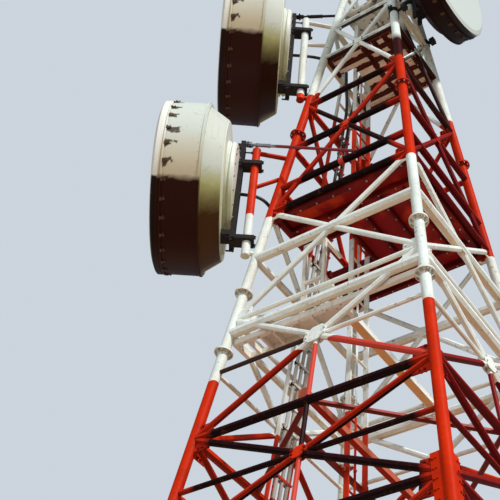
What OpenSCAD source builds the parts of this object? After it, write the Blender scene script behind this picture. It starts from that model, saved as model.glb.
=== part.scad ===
/* [Tower outline] */
// Height of the steelwork above the ground
tower_h = 17500; // [17300:20:17900]
// Face width at the ground, between leg axes
base_w = 4668; // [4560:4:4800]
// Face width at the top, between leg axes
top_w = 614; // [600:2:650]

/* [Levels] */
// Height of the lowest bracing joint
lvl_0 = 300; // [290:5:340]
// Panel joint 1 as a share of the tower height
joint_1_share = 0.144; // [0.1425:0.0005:0.1455]
// Panel joint 2 as a share of the tower height
joint_2_share = 0.2754; // [0.2735:0.0005:0.277]
// Panel joint 3 as a share of the tower height
joint_3_share = 0.3954; // [0.394:0.0005:0.397]
// Panel joint 4 as a share of the tower height
joint_4_share = 0.4749; // [0.4735:0.0005:0.4765]
// Panel joint 5 as a share of the tower height
joint_5_share = 0.5697; // [0.569:0.0005:0.5705]
// Panel joint 6, level with the middle deck, as a share of the tower height
joint_6_share = 0.6737; // [0.673:0.0005:0.6745]
// Panel joint 7 as a share of the tower height
joint_7_share = 0.7994; // [0.799:0.0005:0.8]
// Panel joint 8 as a share of the tower height
joint_8_share = 0.9097; // [0.9093:0.0002:0.9101]

/* [Members] */
// Leg tube diameter
leg_d = 116; // [115:1:122]
// Main horizontal bar diameter
hbar_d = 92; // [80:1:92]
// Diameter of the heavy horizontal bars at the landing and above it
beam_d = 118; // [110:1:122]
// Diagonal bar diameter at the ground
dbar_d = 84; // [70:1:90]
// Light bar diameter
tbar_d = 50; // [40:1:56]
// Joint plate thickness
gusset_t = 14; // [8:1:20]
// Leg flange diameter
flange_d = 214; // [204:2:230]
// Leg flange thickness
flange_t = 26; // [20:1:32]
// Number of flats on a bracing bar
bar_flats = 8; // [6:2:8]

/* [Feet] */
// Side of a base plate
foot_w = 520; // [480:5:560]
// Base plate thickness
foot_t = 40; // [30:1:50]
// Spacing of the anchor bolt holes
anchor_pitch = 380; // [360:5:400]
// Anchor bolt hole diameter
anchor_d = 36; // [30:1:40]
// Height of the foot ribs above the plate
rib_h = 200; // [150:5:215]

/* [Ladder] */
// Distance between the ladder rail centres
ladder_w = 360; // [320:5:400]
// Distance from the tower axis to the ladder
ladder_x = 300; // [290:1:310]
// Rung pitch
rung_pitch = 300; // [280:5:320]
// Rung diameter
rung_d = 26; // [20:1:30]
// Rail depth
rail_a = 60; // [50:1:64]
// Rail thickness
rail_b = 22; // [16:1:28]

/* [Cable run] */
// Distance between the cable ladder rails
tray_w = 340; // [320:5:380]
// Cable ladder rung pitch
tray_pitch = 600; // [500:10:700]
// Cable ladder rail size
tray_rail = 36; // [30:1:40]
// Feeder cable diameter
feeder_d = 44; // [36:1:50]

/* [Decks] */
// Deck frame beam depth
beam_h = 90; // [80:1:100]
// Deck frame beam width
beam_w = 50; // [40:1:60]
// Deck plate thickness
plate_t = 8; // [5:1:12]
// Joist width
joist_w = 30; // [24:1:40]
// Landing deck below panel joint 5
landing_drop = 270; // [262:2:280]
// Depth of the landing from front to back
landing_d = 320; // [300:5:360]
// Upper deck below panel joint 8
deck_up_drop = 790; // [780:2:800]
// Top deck above panel joint 8
deck_top_rise = 430; // [420:2:440]
// Guard bar above the middle deck
knee_rise = 450; // [430:5:470]
// Guard bar diameter
knee_d = 90; // [80:1:92]

/* [Drum antennas] */
// Drum radius
drum_r = 1080; // [1040:5:1100]
// Depth of the shroud behind the radome on the two side drums
shroud_len = 496; // [460:2:510]
// Depth of the shroud on the right drum
shroud_short = 250; // [230:2:260]
// Radome band depth
radome_t = 80; // [70:1:90]
// Shroud wall thickness
wall_t = 14; // [10:1:20]
// Back edge radius of the reflector
back_r = 880; // [860:2:900]
// Hub radius
hub_r = 630; // [600:2:640]
// Mount pipe diameter
pipe_d = 104; // [100:1:112]
// Distance of the side pipes outside their leg, each way
pipe_gap = 100; // [98:1:112]

/* [Hidden] */
H = tower_h;
slope = (base_w - top_w) / 2 / H;
tilt = atan(slope);
lvl_1 = joint_1_share * H;
lvl_2 = joint_2_share * H;
lvl_3 = joint_3_share * H;
lvl_4 = joint_4_share * H;
lvl_5 = joint_5_share * H;
lvl_6 = joint_6_share * H;
lvl_7 = joint_7_share * H;
lvl_8 = joint_8_share * H;
lv = [lvl_0, lvl_1, lvl_2, lvl_3, lvl_4, lvl_5, lvl_6, lvl_7, lvl_8, H - 60];
landing_z = lvl_5 - landing_drop;
deck_up_z = lvl_8 - deck_up_drop;
deck_top_z = lvl_8 + deck_top_rise;
knee_z = lvl_6 + knee_rise;
function wid(z) = base_w - (base_w - top_w) * z / H;
function half(z) = wid(z) / 2;
function sl(z) = z / cos(tilt);
function cross_z(a, b) = a + (b - a) * wid(a) / (wid(a) + wid(b));
function dd(p) = dbar_d * (1 - 0.04 * p);
function hd(p) = hbar_d * (1 - 0.03 * p);
LEG_R = leg_d / 2;
beam2_z = lvl_5 - 200;
split_z = lvl_4 + 230;
flange_zs = [lvl_2 - 470, lvl_5 - 470, lvl_5 + 430, lvl_7 - 640];
ladder_joint = lvl_4 + 120;
hatch_x0 = -ladder_x - 470;
hatch_x1 = -ladder_x + rail_a / 2;
hatch_y = 290;
// front side is minus Y, right side is plus X
ant1_az = -144.5;
ant2_az = -143;
ant3_az = 0;
ant1_zc = lvl_6 + 372;
ant2_zc = lvl_7 + 1258;
ant3_zc = H - 1000;
pipe1_z0 = ant1_zc - 1.076 * drum_r;
pipe1_z1 = ant1_zc + 0.683 * drum_r;
pipe2_z0 = ant2_zc - 1.054 * drum_r;
pipe2_z1 = ant2_zc + 0.706 * drum_r;
pipe3_z0 = min(lvl_8 - 60, ant3_zc - 0.593 * drum_r);
pipe3_z1 = H - 160;
pipe1_c = half(pipe1_z0 + 30) + pipe_gap;
pipe2_c = half(pipe2_z0 + 40) + pipe_gap;
pipe3_x = half(lvl_8) + hbar_d / 2 + pipe_d / 2 + 24;
pipe3_y = -200;
pipe_back = 1149;
pipe_side = -62;
cone_len = 250;
hub_len = 112;
frame_x = 60;
clamp_up = 0.37 * drum_r;
clamp_dn = -0.88 * drum_r;

// face frame: local x across the face, local y up the slope, local z outward
module face_at(i) {
  rotate([0, 0, 90 * i]) translate([0, -base_w / 2, 0]) rotate([90 - tilt, 0, 0]) children();
}

// straight bar inside a face, from (a) to (b) in face coordinates
module fbar(a, b, d) {
  v = b - a;
  translate([a[0], a[1], 0]) rotate([0, 0, atan2(v[1], v[0])]) rotate([0, 90, 0])
    rotate([0, 0, 180 / bar_flats]) cylinder(h = norm(v), d = d, $fn = bar_flats);
}

// straight bar in space
module bar(p, q, d, n) {
  v = q - p;
  translate(p) rotate([0, acos(v[2] / norm(v)), atan2(v[1], v[0])])
    rotate([0, 0, 180 / n]) cylinder(h = norm(v), d = d, $fn = n);
}

module block(x0, x1, y0, y1, z0, z1) {
  translate([x0, y0, z0]) cube([x1 - x0, y1 - y0, z1 - z0]);
}

// leg tube; sx and sy give the corner
module leg_tube(sx, sy, r, z0, z1) {
  v = [sx * (half(z1) - half(z0)), sy * (half(z1) - half(z0)), z1 - z0];
  translate([sx * half(z0), sy * half(z0), z0]) rotate([0, acos(v[2] / norm(v)), atan2(v[1], v[0])])
    cylinder(h = norm(v), r = r, $fn = 48);
}

module leg_disc(sx, sy, z, r, t) {
  leg_tube(sx, sy, r, z - t, z + t);
}

module all_legs(z0, z1) {
  leg_tube(-1, -1, LEG_R, z0, z1);
  leg_tube(1, -1, LEG_R, z0, z1);
  leg_tube(1, 1, LEG_R, z0, z1);
  leg_tube(-1, 1, LEG_R, z0, z1);
}

module foot_rib() {
  rotate([90, 0, 0]) translate([0, 0, -8]) linear_extrude(height = 16)
    polygon([[0, 0], [225, 0], [225, 30], [95, rib_h], [0, rib_h]]);
}

module leg(sx, sy) {
  difference() {
    union() {
      leg_tube(sx, sy, LEG_R, -200, H + 200);
      for (z = flange_zs) leg_disc(sx, sy, z, flange_d / 2, flange_t / 2);
      translate([sx * half(foot_t), sy * half(foot_t), foot_t]) {
        for (a = [0, 90, 180, 270]) rotate([0, 0, a]) foot_rib();
      }
    }
    translate([sx * half(0) - 500, sy * half(0) - 500, -600]) cube([1000, 1000, 600 + foot_t]);
    translate([sx * half(H) - 500, sy * half(H) - 500, H]) cube([1000, 1000, 600]);
  }
}

module leg_front_left() {
  color([0.85, 0.2, 0.1]) leg(-1, -1);
}

module leg_front_right() {
  color([0.85, 0.2, 0.1]) leg(1, -1);
}

module leg_back_right() {
  color([0.85, 0.2, 0.1]) leg(1, 1);
}

module leg_back_left() {
  color([0.85, 0.2, 0.1]) leg(-1, 1);
}

module foot_plate(sx, sy) {
  translate([sx * half(0), sy * half(0), 0]) difference() {
    translate([-foot_w / 2, -foot_w / 2, 0]) cube([foot_w, foot_w, foot_t]);
    for (x = [-1, 1]) for (y = [-1, 1])
      translate([x * anchor_pitch / 2, y * anchor_pitch / 2, -1])
        cylinder(h = foot_t + 2, d = anchor_d, $fn = 32);
  }
}

module base_plates() {
  color([0.6, 0.6, 0.6]) for (sx = [-1, 1]) for (sy = [-1, 1]) foot_plate(sx, sy);
}

// joint plates at both legs of a face
module joint_plates(z, g) {
  for (m = [-1, 1])
    translate([m * (half(z) - g / 2) - g / 2, sl(z) - g * 0.75, -gusset_t / 2]) cube([g, g * 1.5, gusset_t]);
}

module panel(p, mid_d, top_d, g) {
  zl = lv[p];
  zu = lv[p + 1];
  zc = cross_z(zl, zu);
  fbar([-half(zl), sl(zl)], [half(zu), sl(zu)], dd(p));
  fbar([half(zl), sl(zl)], [-half(zu), sl(zu)], dd(p));
  fbar([-half(zc), sl(zc)], [half(zc), sl(zc)], mid_d);
  fbar([-half(zu), sl(zu)], [half(zu), sl(zu)], top_d);
  joint_plates(zu, g);
}

module face_low_bars() {
  panel(0, tbar_d + 14, hd(0), 270);
  panel(1, tbar_d + 10, hd(1), 270);
  panel(2, tbar_d + 6, hd(1), 270);
  panel(3, tbar_d + 10, hd(0), 230);
  joint_plates(lv[0] + 40, 240);
  fbar([0, sl(lv[1])], [0, sl(cross_z(lv[4], lv[5]))], tbar_d);
  fbar([-half(cross_z(lv[4], lv[5])) + 0, sl(lv[4])], [half(lv[4]), sl(lv[4])], hd(0));
  fbar([-half(lv[4]), sl(lv[4])], [half(lv[5]), sl(lv[5])], dd(4));
  fbar([half(lv[4]), sl(lv[4])], [-half(lv[5]), sl(lv[5])], dd(4));
}

module face_high_bars(heavy) {
  panel(4, tbar_d, tbar_d + 8, 220);
  panel(5, heavy, hd(3), 200);
  panel(6, hd(3), hd(4), 170);
  panel(7, hd(5), hd(2), 130);
  panel(8, tbar_d, hd(6), 110);
  fbar([-half(beam2_z), sl(beam2_z)], [half(beam2_z), sl(beam2_z)], heavy);
  knee_bar();
  fbar([0, sl(lv[4])], [0, sl(cross_z(lv[4], lv[5]))], tbar_d);
}

module knee_bar() {
  fbar([-half(knee_z), sl(knee_z)], [half(knee_z), sl(knee_z)], knee_d);
}

module bracing_low(i) {
  difference() {
    face_at(i) face_low_bars();
    all_legs(-200, split_z + 900);
    translate([-3000, -3000, split_z]) cube([6000, 6000, 3000]);
  }
}

module bracing_high(i) {
  difference() {
    face_at(i) face_high_bars(i == 3 ? hbar_d : beam_d);
    all_legs(split_z - 900, H + 400);
    translate([-3000, -3000, split_z - 3000]) cube([6000, 6000, 3000]);
  }
}

module bracing_front_low() {
  color([0.8, 0.15, 0.1]) bracing_low(0);
}

module bracing_right_low() {
  color([0.8, 0.15, 0.1]) bracing_low(1);
}

module bracing_back_low() {
  color([0.8, 0.15, 0.1]) bracing_low(2);
}

module bracing_left_low() {
  color([0.8, 0.15, 0.1]) bracing_low(3);
}

module bracing_front_high() {
  color([0.9, 0.9, 0.85]) bracing_high(0);
}

module bracing_right_high() {
  color([0.9, 0.9, 0.85]) bracing_high(1);
}

module bracing_back_high() {
  color([0.9, 0.9, 0.85]) bracing_high(2);
}

module bracing_left_high() {
  color([0.9, 0.9, 0.85]) bracing_high(3);
}

// bars between the middles of the faces, open on the left for the cables, with a tie for the ladder
module plan_brace(z, hb) {
  tie = 50;
  tx = -ladder_x - rail_a / 2 - tie / 2;
  h = half(z);
  open = tray_w / 2 + 90;
  ty = h + (h - open) * tx / h;
  difference() {
    union() {
      for (m = [-1, 1]) {
        bar([0, m * h, z], [h, 0, z], tbar_d + 8, 8);
        bar([0, m * h, z], [-h, m * open, z], tbar_d + 8, 8);
      }
      difference() {
        block(tx - tie / 2, tx + tie / 2, -ty, ty, z - tie / 2, z + tie / 2);
        for (m = [-1, 1]) bar([0, m * h, z], [-h, m * open, z], tbar_d + 8.8, 8);
      }
    }
    for (i = [0, 1, 2, 3]) face_at(i) {
      fbar([-half(z), sl(z)], [half(z), sl(z)], hb);
      translate([-tbar_d / 2, sl(z) - 300, -tbar_d / 2]) cube([tbar_d, 600, tbar_d]);
    }
  }
}

module plan_brace_1() {
  color([0.5, 0.1, 0.1]) plan_brace(lvl_1, hd(0));
}

module plan_brace_2() {
  color([0.5, 0.1, 0.1]) plan_brace(lvl_2, hd(1));
}

module plan_brace_3() {
  color([0.5, 0.1, 0.1]) plan_brace(lvl_3, hd(1));
}

module plan_brace_4() {
  color([0.5, 0.1, 0.1]) plan_brace(lvl_4, hd(0));
}

// half width of a deck inside horizontal bars of diameter d
function inside(z, d) = half(z) - d / 2 * cos(180 / bar_flats) / cos(tilt) - 1;

// frame of a square deck between the legs; z is the plate top
module deck_frame(z) {
  h = inside(z, hd(3));
  zb = z - plate_t - beam_h;
  block(-h, h, -h, -h + beam_w, zb, z - plate_t);
  block(-h, h, h - beam_w, h, zb, z - plate_t);
  block(-h, -h + beam_w, -h, h, zb, z - plate_t);
  block(h - beam_w, h, -h, h, zb, z - plate_t);
}

// three plates with open seams, around a hatch that runs out to the left
module middle_deck() {
  z = lvl_6;
  h = inside(z, hd(3));
  color([0.6, 0.08, 0.06]) difference() {
    union() {
      for (m = [-1, 1])
        block(-h, h, m * (h + hatch_y) / 2 - (h - hatch_y) / 2, m * (h + hatch_y) / 2 + (h - hatch_y) / 2,
              z - plate_t, z);
      block(hatch_x1, h, -hatch_y + 0.8, hatch_y - 0.8, z - plate_t, z);
    }
    all_legs(z - 400, z + 400);
  }
}

// gap in a deck on the left side for the cable run
module tray_slot(z) {
  block(-half(z) - 60, -half(z) + 250, -tray_w / 2 - 70, tray_w / 2 + 70, z - 300, z + 300);
}

// frame under the middle deck
module middle_deck_frame() {
  z = lvl_6;
  h = inside(z, hd(3));
  zb = z - plate_t - beam_h;
  y0 = h * 0.66;
  color([0.45, 0.06, 0.05]) difference() {
    union() {
      deck_frame(z);
      for (m = [-1, 1])
        block(-h, h, m * y0 + m * joist_w / 2 - joist_w / 2, m * y0 + m * joist_w / 2 + joist_w / 2,
              zb, z - plate_t);
    }
    tray_slot(z);
    all_legs(z - 400, z + 400);
  }
}

// joists between the two long beams, and the two short ones beside the hatch
module middle_deck_joists() {
  z = lvl_6;
  h = inside(z, hd(3));
  zb = z - plate_t - beam_h;
  y0 = h * 0.66;
  color([0.45, 0.06, 0.05]) {
    block(hatch_x1, hatch_x1 + joist_w, -y0, y0, zb, z - plate_t);
    for (k = [1:3]) {
      x = hatch_x1 + (h - hatch_x1) * k / 4;
      block(x - joist_w / 2, x + joist_w / 2, -y0, y0, zb, z - plate_t);
    }
    for (m = [-1, 1]) {
      y = m * (hatch_y + joist_w / 2);
      block(-h + beam_w, hatch_x1 - 0.4, y - joist_w / 2, y + joist_w / 2, zb, z - plate_t);
    }
  }
}

module landing_deck() {
  z = landing_z;
  h = half(z) - 36;
  y1 = -h + landing_d;
  zb = z - plate_t - 70;
  color([0.9, 0.88, 0.82]) difference() {
    union() {
      block(-h, h, -h, -h + beam_w, zb, z - plate_t);
      block(-h, hatch_x1 + 500, y1 - beam_w, y1, zb, z - plate_t);
      block(-h, -h + beam_w, -h, y1, zb, z - plate_t);
      block(hatch_x1 + 450, hatch_x1 + 500, -h, y1, zb, z - plate_t);
      for (x = [-h + 170, -h + 330, -h + 490, -h + 720, -h + 980])
        block(x, x + joist_w, -h, y1, zb, z - plate_t);
      block(-h + 330, hatch_x1 + 500, -h, y1, z - plate_t, z);
    }
    all_legs(z - 400, z + 400);
  }
}

// clear width of the hatch in the upper deck
up_hatch = 230;

// three plates with open seams, around a hatch that runs out to the left
module upper_deck() {
  z = deck_up_z;
  h = inside(z, hd(5));
  color([0.85, 0.8, 0.7]) difference() {
    union() {
      for (m = [-1, 1])
        block(-h, h, m * (h + up_hatch) / 2 - (h - up_hatch) / 2, m * (h + up_hatch) / 2 + (h - up_hatch) / 2,
              z - plate_t, z);
      block(hatch_x1, h, -up_hatch + 0.8, up_hatch - 0.8, z - plate_t, z);
    }
    all_legs(z - 400, z + 400);
  }
}

// edge beams, upper joists along Y and lower joists along X, each a bar of its own
module upper_deck_frame() {
  z = deck_up_z;
  h = inside(z, hd(5));
  edge = 40;
  small = 24;
  zt = z - plate_t;
  zb = zt - 60;
  zm = zt - 30;
  g = 0.4;
  color([0.6, 0.5, 0.35]) difference() {
    union() {
      for (m = [-1, 1]) {
        block(-h, h, m * (h - edge / 2) - edge / 2, m * (h - edge / 2) + edge / 2, zb, zt);
        block(-h, -h + edge, m * (h - edge - g + up_hatch) / 2 - (h - edge - g - up_hatch) / 2,
              m * (h - edge - g + up_hatch) / 2 + (h - edge - g - up_hatch) / 2, zb, zt);
      }
      block(h - edge, h, -h + edge + g, h - edge - g, zb, zt);
      for (x = [-0.02, 0.3, 0.62]) block(x * h, x * h + small, -h + edge + g, h - edge - g, zm, zt);
      for (y = [-0.68, 0.66])
        block(-h + edge + g, h - edge - g, y * h, y * h + small, zb, zm - g);
      for (y = [-0.38, 0.34])
        block(hatch_x1, h - edge - g, y * h, y * h + small, zb, zm - g);
    }
    all_legs(z - 400, z + 400);
  }
}

module top_deck() {
  z = deck_top_z;
  h = half(z) - hbar_d / 2 + 5;
  zb = z - plate_t - 50;
  color([0.9, 0.88, 0.82]) difference() {
    union() {
      block(-h, h, -h, h, z - plate_t, z);
      for (k = [-1, 1]) {
        block(-h, h, k * (h - 20) - 20, k * (h - 20) + 20, zb, z - plate_t);
        block(k * (h - 20) - 20, k * (h - 20) + 20, -h, h, zb, z - plate_t);
      }
      block(-20, 20, -h, h, zb, z - plate_t);
    }
    all_legs(z - 400, z + 400);
  }
}

module ladder_part(z0, z1) {
  for (m = [-1, 1])
    block(-ladder_x - rail_a / 2, -ladder_x + rail_a / 2, m * ladder_w / 2 - rail_b / 2,
          m * ladder_w / 2 + rail_b / 2, z0, z1);
  for (z = [ceil(z0 / rung_pitch) * rung_pitch:rung_pitch:z1 - 40])
    translate([-ladder_x, -ladder_w / 2, z]) rotate([-90, 0, 0])
      cylinder(h = ladder_w, d = rung_d, $fn = 16);
}

module ladder_low() {
  color([0.8, 0.3, 0.2]) ladder_part(130, ladder_joint);
}

module ladder_high() {
  color([0.9, 0.9, 0.85]) ladder_part(ladder_joint, deck_top_z - plate_t - 50);
}

module hatch_guard() {
  z0 = landing_z;
  y = -half(landing_z) + 270;
  color([0.93, 0.93, 0.9]) {
    for (x = [-450, -190]) block(x - 20, x + 20, y, y + 40, z0, z0 + 1300);
    for (z = [680, 1260]) block(-470, -170, y, y + 40, z0 + z, z0 + z + 40);
    block(-210, -170, y, y + 360, z0 + 1260, z0 + 1300);
    block(-210, -170, y, y + 220, z0 + 680, z0 + 720);
  }
}

tray_n = -(hbar_d / 2 * cos(180 / bar_flats)) - tray_rail / 2;
tray_top = deck_up_z - 130;

// ladder for the cables, leaning with the left face
module cable_ladder() {
  color([0.9, 0.9, 0.86]) difference() {
    face_at(3) {
      for (m = [-1, 1])
        translate([m * tray_w / 2 - tray_rail / 2, sl(500), tray_n - tray_rail / 2])
          cube([tray_rail, sl(tray_top) - sl(500), tray_rail]);
      for (z = [800:tray_pitch:tray_top - 100])
        translate([-tray_w / 2, sl(z), tray_n]) rotate([0, 90, 0]) rotate([0, 0, 22.5])
          cylinder(h = tray_w, d = tray_rail, $fn = 8);
    }
    translate([-4000, -1000, tray_top - 60]) cube([8000, 2000, 2000]);
  }
}

// cable centre line behind the cable ladder, at height z and u across the face
feeder_n = tray_n - tray_rail / 2 * cos(22.5) - feeder_d / 2 - 0.2;
feeder_z0 = 520;
function tray_p(u, z) = [-half(z) - feeder_n * cos(tilt), -u, z + feeder_n * sin(tilt)];

// a point given in a side drum's own frame, in tower coordinates
function drum_p(c, az, zc, q) = [
  -c + (q[0] + pipe_back) * cos(az) - (q[1] + pipe_side) * sin(az),
  -c + (q[0] + pipe_back) * sin(az) + (q[1] + pipe_side) * cos(az),
  zc + q[2]
];

// one corner of a route turned into a short curve
function bend(a, b, c) = [
  for (t = [0:3])
    (1 - t / 3) * (1 - t / 3) * (b + (a - b) * bend_cut(a, b)) + 2 * (1 - t / 3) * (t / 3) * b
    + (t / 3) * (t / 3) * (b + (c - b) * bend_cut(c, b))
];
function bend_cut(a, b) = min(0.45, 3.4 * feeder_d / norm(a - b));
function eased(q) = [
  q[0],
  for (i = [1:len(q) - 2]) for (e = bend(q[i - 1], q[i], q[i + 1])) e,
  q[len(q) - 1]
];

// round cable through a list of points
module cable_run(corners) {
  pts = eased(corners);
  for (i = [0:len(pts) - 2]) hull() {
    translate(pts[i]) sphere(d = feeder_d, $fn = 10);
    translate(pts[i + 1]) sphere(d = feeder_d, $fn = 10);
  }
}

// three cables from the drums to the cable ladder and down along it
module feeder_cables() {
  hub_x = -side_depth;
  color([0.08, 0.08, 0.08]) {
    cable_run([
      drum_p(pipe1_c, ant1_az, ant1_zc, [hub_x, -30, 0]),
      drum_p(pipe1_c, ant1_az, ant1_zc, [hub_x - 332, -40, -20]),
      [-half(knee_z) - 190, -620, knee_z - 165],
      [-half(knee_z) + 40, -430, knee_z - 190],
      [-half(knee_z) + 120, -260, knee_z - 210],
      tray_p(100, knee_z - 240),
      tray_p(100, feeder_z0)
    ]);
    cable_run([
      drum_p(pipe2_c, ant2_az, ant2_zc, [hub_x, -30, 0]),
      drum_p(pipe2_c, ant2_az, ant2_zc, [hub_x - 292, -40, 20]),
      [-half(deck_up_z) - 120, -420, deck_up_z + 290],
      [-ladder_x - 150, -190, deck_up_z + 150],
      [-ladder_x - 160, -170, deck_up_z - 130],
      tray_p(0, deck_up_z - 530),
      tray_p(0, feeder_z0)
    ]);
    cable_run([
      [pipe3_x + pipe3_back - drum3_depth, pipe3_y - 120, ant3_zc - 100],
      [pipe3_x + 60, pipe3_y - 120, ant3_zc - 120],
      [pipe3_x - 70, pipe3_y - 110, lvl_8 + 210],
      [pipe3_x - 190, pipe3_y - 50, lvl_8 + 170],
      [pipe3_x - 370, pipe3_y + 150, lvl_8 + 80],
      [-ladder_x + 80, 80, cross_gap_z + 30],
      [-ladder_x - 120, 115, cross_gap_z - 40],
      [-ladder_x - 160, 120, deck_up_z - 130],
      tray_p(-100, deck_up_z - 630),
      tray_p(-100, feeder_z0)
    ]);
  }
}

// drum frame: local x forward along the axis, origin at the middle of the front face
module drum_at(k) {
  if (k == 1) translate([-pipe1_c, -pipe1_c, ant1_zc]) rotate([0, 0, ant1_az])
    translate([pipe_back, pipe_side, 0]) children();
  if (k == 2) translate([-pipe2_c, -pipe2_c, ant2_zc]) rotate([0, 0, ant2_az])
    translate([pipe_back, pipe_side, 0]) children();
  if (k == 3) translate([pipe3_x, pipe3_y, ant3_zc]) rotate([0, 0, ant3_az])
    translate([pipe3_back, 0, 0]) children();
}

drum3_cone = 130;
drum3_hub = 60;
drum3_depth = radome_t + shroud_short + drum3_cone + drum3_hub;
pipe3_back = drum3_depth + frame_x + 40 + pipe_d / 2;
// middle between two rungs above the upper deck
cross_gap_z = (ceil(deck_up_z / rung_pitch) + 0.5) * rung_pitch;
side_depth = radome_t + shroud_len + cone_len + hub_len;

// closed turned shape around the drum axis from a list of [distance behind front, radius]
module turned(pts) {
  rotate([0, -90, 0]) rotate_extrude($fn = 96) polygon([for (q = pts) [q[1], q[0]]]);
}

module radome() {
  turned([[0, 0], [0, drum_r - 60], [22, drum_r - 6], [34, drum_r + 8], [radome_t, drum_r + 8],
          [radome_t, drum_r - 30], [60, drum_r - 30], [40, 0]]);
}

module shroud(len) {
  a = radome_t;
  b = radome_t + len;
  turned([[a, drum_r - wall_t], [a, drum_r + 8], [a + 16, drum_r + 8], [a + 16, drum_r], [b - 18, drum_r],
          [b - 18, drum_r + 10], [b, drum_r + 10], [b, drum_r - wall_t]]);
}

module reflector(a, cone, hub) {
  b = a + cone;
  c = b + hub;
  turned([[a, 0], [a, drum_r - 8], [a + 16, drum_r - 8], [a + 16, drum_r - 46], [b - 20, back_r + 12],
          [b, back_r - 10], [b, hub_r], [b + 26, hub_r], [b + 34, hub_r - 26], [b + 52, hub_r - 26],
          [b + 60, hub_r - 4], [c - 12, hub_r - 20], [c, hub_r - 40], [c, 0]]);
}

// dark frame on the back of a drum, and the two clamps that hold the pipe
module bracket(c, hub, back, side, up, dn) {
  lo = -0.889 * drum_r;
  hi = 0.833 * drum_r;
  for (y = [-70, 70]) block(-c - frame_x, -c, y - 16, y + 16, lo, hi);
  for (z = [up, dn, hi - 80]) block(-c - frame_x, -c, -54, 54, z, z + 60);
  for (z = [lo + 120, hi - 140]) block(-c, -c + hub, -86, 86, z, z + 80);
  for (z = [up, dn]) difference() {
    block(-back - pipe_d / 2 - 36, -c - frame_x, -side - pipe_d / 2 - 34,
          -side + pipe_d / 2 + 34, z, z + 60);
    translate([-back, -side, z - 10]) cylinder(h = 80, d = pipe_d, $fn = 48);
  }
}

// painted pipe beside a leg with its arms
module side_mount(c, z0, z1, arms, brace) {
  difference() {
    union() {
      translate([-c, -c, z0]) cylinder(h = z1 - z0, d = pipe_d, $fn = 48);
      for (z = arms) bar([-c, -c, z], [-half(z), -half(z), z], 66, 8);
      bar([-c, -c, brace[0]], [-half(brace[1]), -half(brace[1]), brace[1]], 56, 8);
    }
    leg_tube(-1, -1, LEG_R, z0 - 900, z1 + 900);
  }
}

module drum1_radome() {
  color([0.95, 0.95, 0.92]) drum_at(1) radome();
}

module drum1_shroud() {
  color([0.85, 0.8, 0.65]) drum_at(1) shroud(shroud_len);
}

module drum1_reflector() {
  color([0.9, 0.88, 0.78]) drum_at(1) reflector(radome_t + shroud_len, cone_len, hub_len);
}

module drum1_bracket() {
  color([0.1, 0.1, 0.1]) drum_at(1) bracket(side_depth, hub_len, pipe_back, pipe_side, clamp_up, clamp_dn);
}

module drum1_mount() {
  color([0.9, 0.3, 0.15])
    side_mount(pipe1_c, pipe1_z0, pipe1_z1, [pipe1_z0 + 50, pipe1_z1 - 50],
               [ant1_zc + 18, ant1_zc + 308]);
}

module drum2_radome() {
  color([0.95, 0.95, 0.92]) drum_at(2) radome();
}

module drum2_shroud() {
  color([0.85, 0.8, 0.65]) drum_at(2) shroud(shroud_len);
}

module drum2_reflector() {
  color([0.9, 0.88, 0.78]) drum_at(2) reflector(radome_t + shroud_len, cone_len, hub_len);
}

module drum2_bracket() {
  color([0.1, 0.1, 0.1]) drum_at(2) bracket(side_depth, hub_len, pipe_back, pipe_side, clamp_up, clamp_dn);
}

module drum2_mount() {
  color([0.9, 0.9, 0.86])
    side_mount(pipe2_c, pipe2_z0, pipe2_z1, [pipe2_z0 + 50, pipe2_z1 - 50],
               [ant2_zc + 152, ant2_zc + 232]);
}

module drum3_radome() {
  color([0.95, 0.95, 0.92]) drum_at(3) radome();
}

module drum3_shroud() {
  color([0.85, 0.8, 0.65]) drum_at(3) shroud(shroud_short);
}

module drum3_reflector() {
  color([0.9, 0.88, 0.78]) drum_at(3) reflector(radome_t + shroud_short, drum3_cone, drum3_hub);
}

module drum3_bracket() {
  color([0.1, 0.1, 0.1]) drum_at(3)
    bracket(drum3_depth, drum3_hub, pipe3_back, 0, 0.444 * drum_r, -0.463 * drum_r);
}

module drum3_mount() {
  color([0.9, 0.9, 0.86]) difference() {
    union() {
      translate([pipe3_x, pipe3_y, pipe3_z0]) cylinder(h = pipe3_z1 - pipe3_z0, d = pipe_d, $fn = 48);
      for (z = [lvl_8, H - 250])
        for (m = [-1, 1]) bar([pipe3_x, pipe3_y, z], [half(z), m * half(z), z], 60, 8);
    }
    all_legs(lvl_8 - 900, H + 400);
    face_at(1) fbar([-half(lvl_8), sl(lvl_8)], [half(lvl_8), sl(lvl_8)], hd(2));
    face_at(1) translate([-600, sl(lvl_8) - 200, -gusset_t / 2]) cube([1200, 400, gusset_t]);
  }
}

// thin bar from the back of a drum to a leg
module strut_bar(p, q, sx, sy) {
  difference() {
    bar(p, q, 40, 12);
    leg_tube(sx, sy, LEG_R, q[2] - 900, q[2] + 900);
  }
}

module drum1_strut() {
  p = [-pipe1_c + 150 * cos(ant1_az) + pipe_side * sin(-ant1_az),
       -pipe1_c + 150 * sin(ant1_az) + pipe_side * cos(ant1_az), ant1_zc + 0.8546 * drum_r];
  color([0.5, 0.55, 0.6]) difference() {
    bar(p, [300, -half(knee_z), knee_z], 40, 12);
    face_at(0) knee_bar();
  }
}

module drum2_strut() {
  p = [-pipe2_c + 150 * cos(ant2_az) + pipe_side * sin(-ant2_az),
       -pipe2_c + 150 * sin(ant2_az) + pipe_side * cos(ant2_az), ant2_zc + 0.8546 * drum_r];
  z = deck_top_z - 50;
  color([0.1, 0.1, 0.12]) strut_bar(p, [-half(z), -half(z), z], -1, -1);
}

module drum3_strut() {
  p = [pipe3_x + 80, pipe3_y, ant3_zc + 0.8546 * drum_r];
  color([0.1, 0.1, 0.12]) strut_bar(p, [half(H - 170), half(H - 170), H - 170], 1, 1);
}

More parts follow.
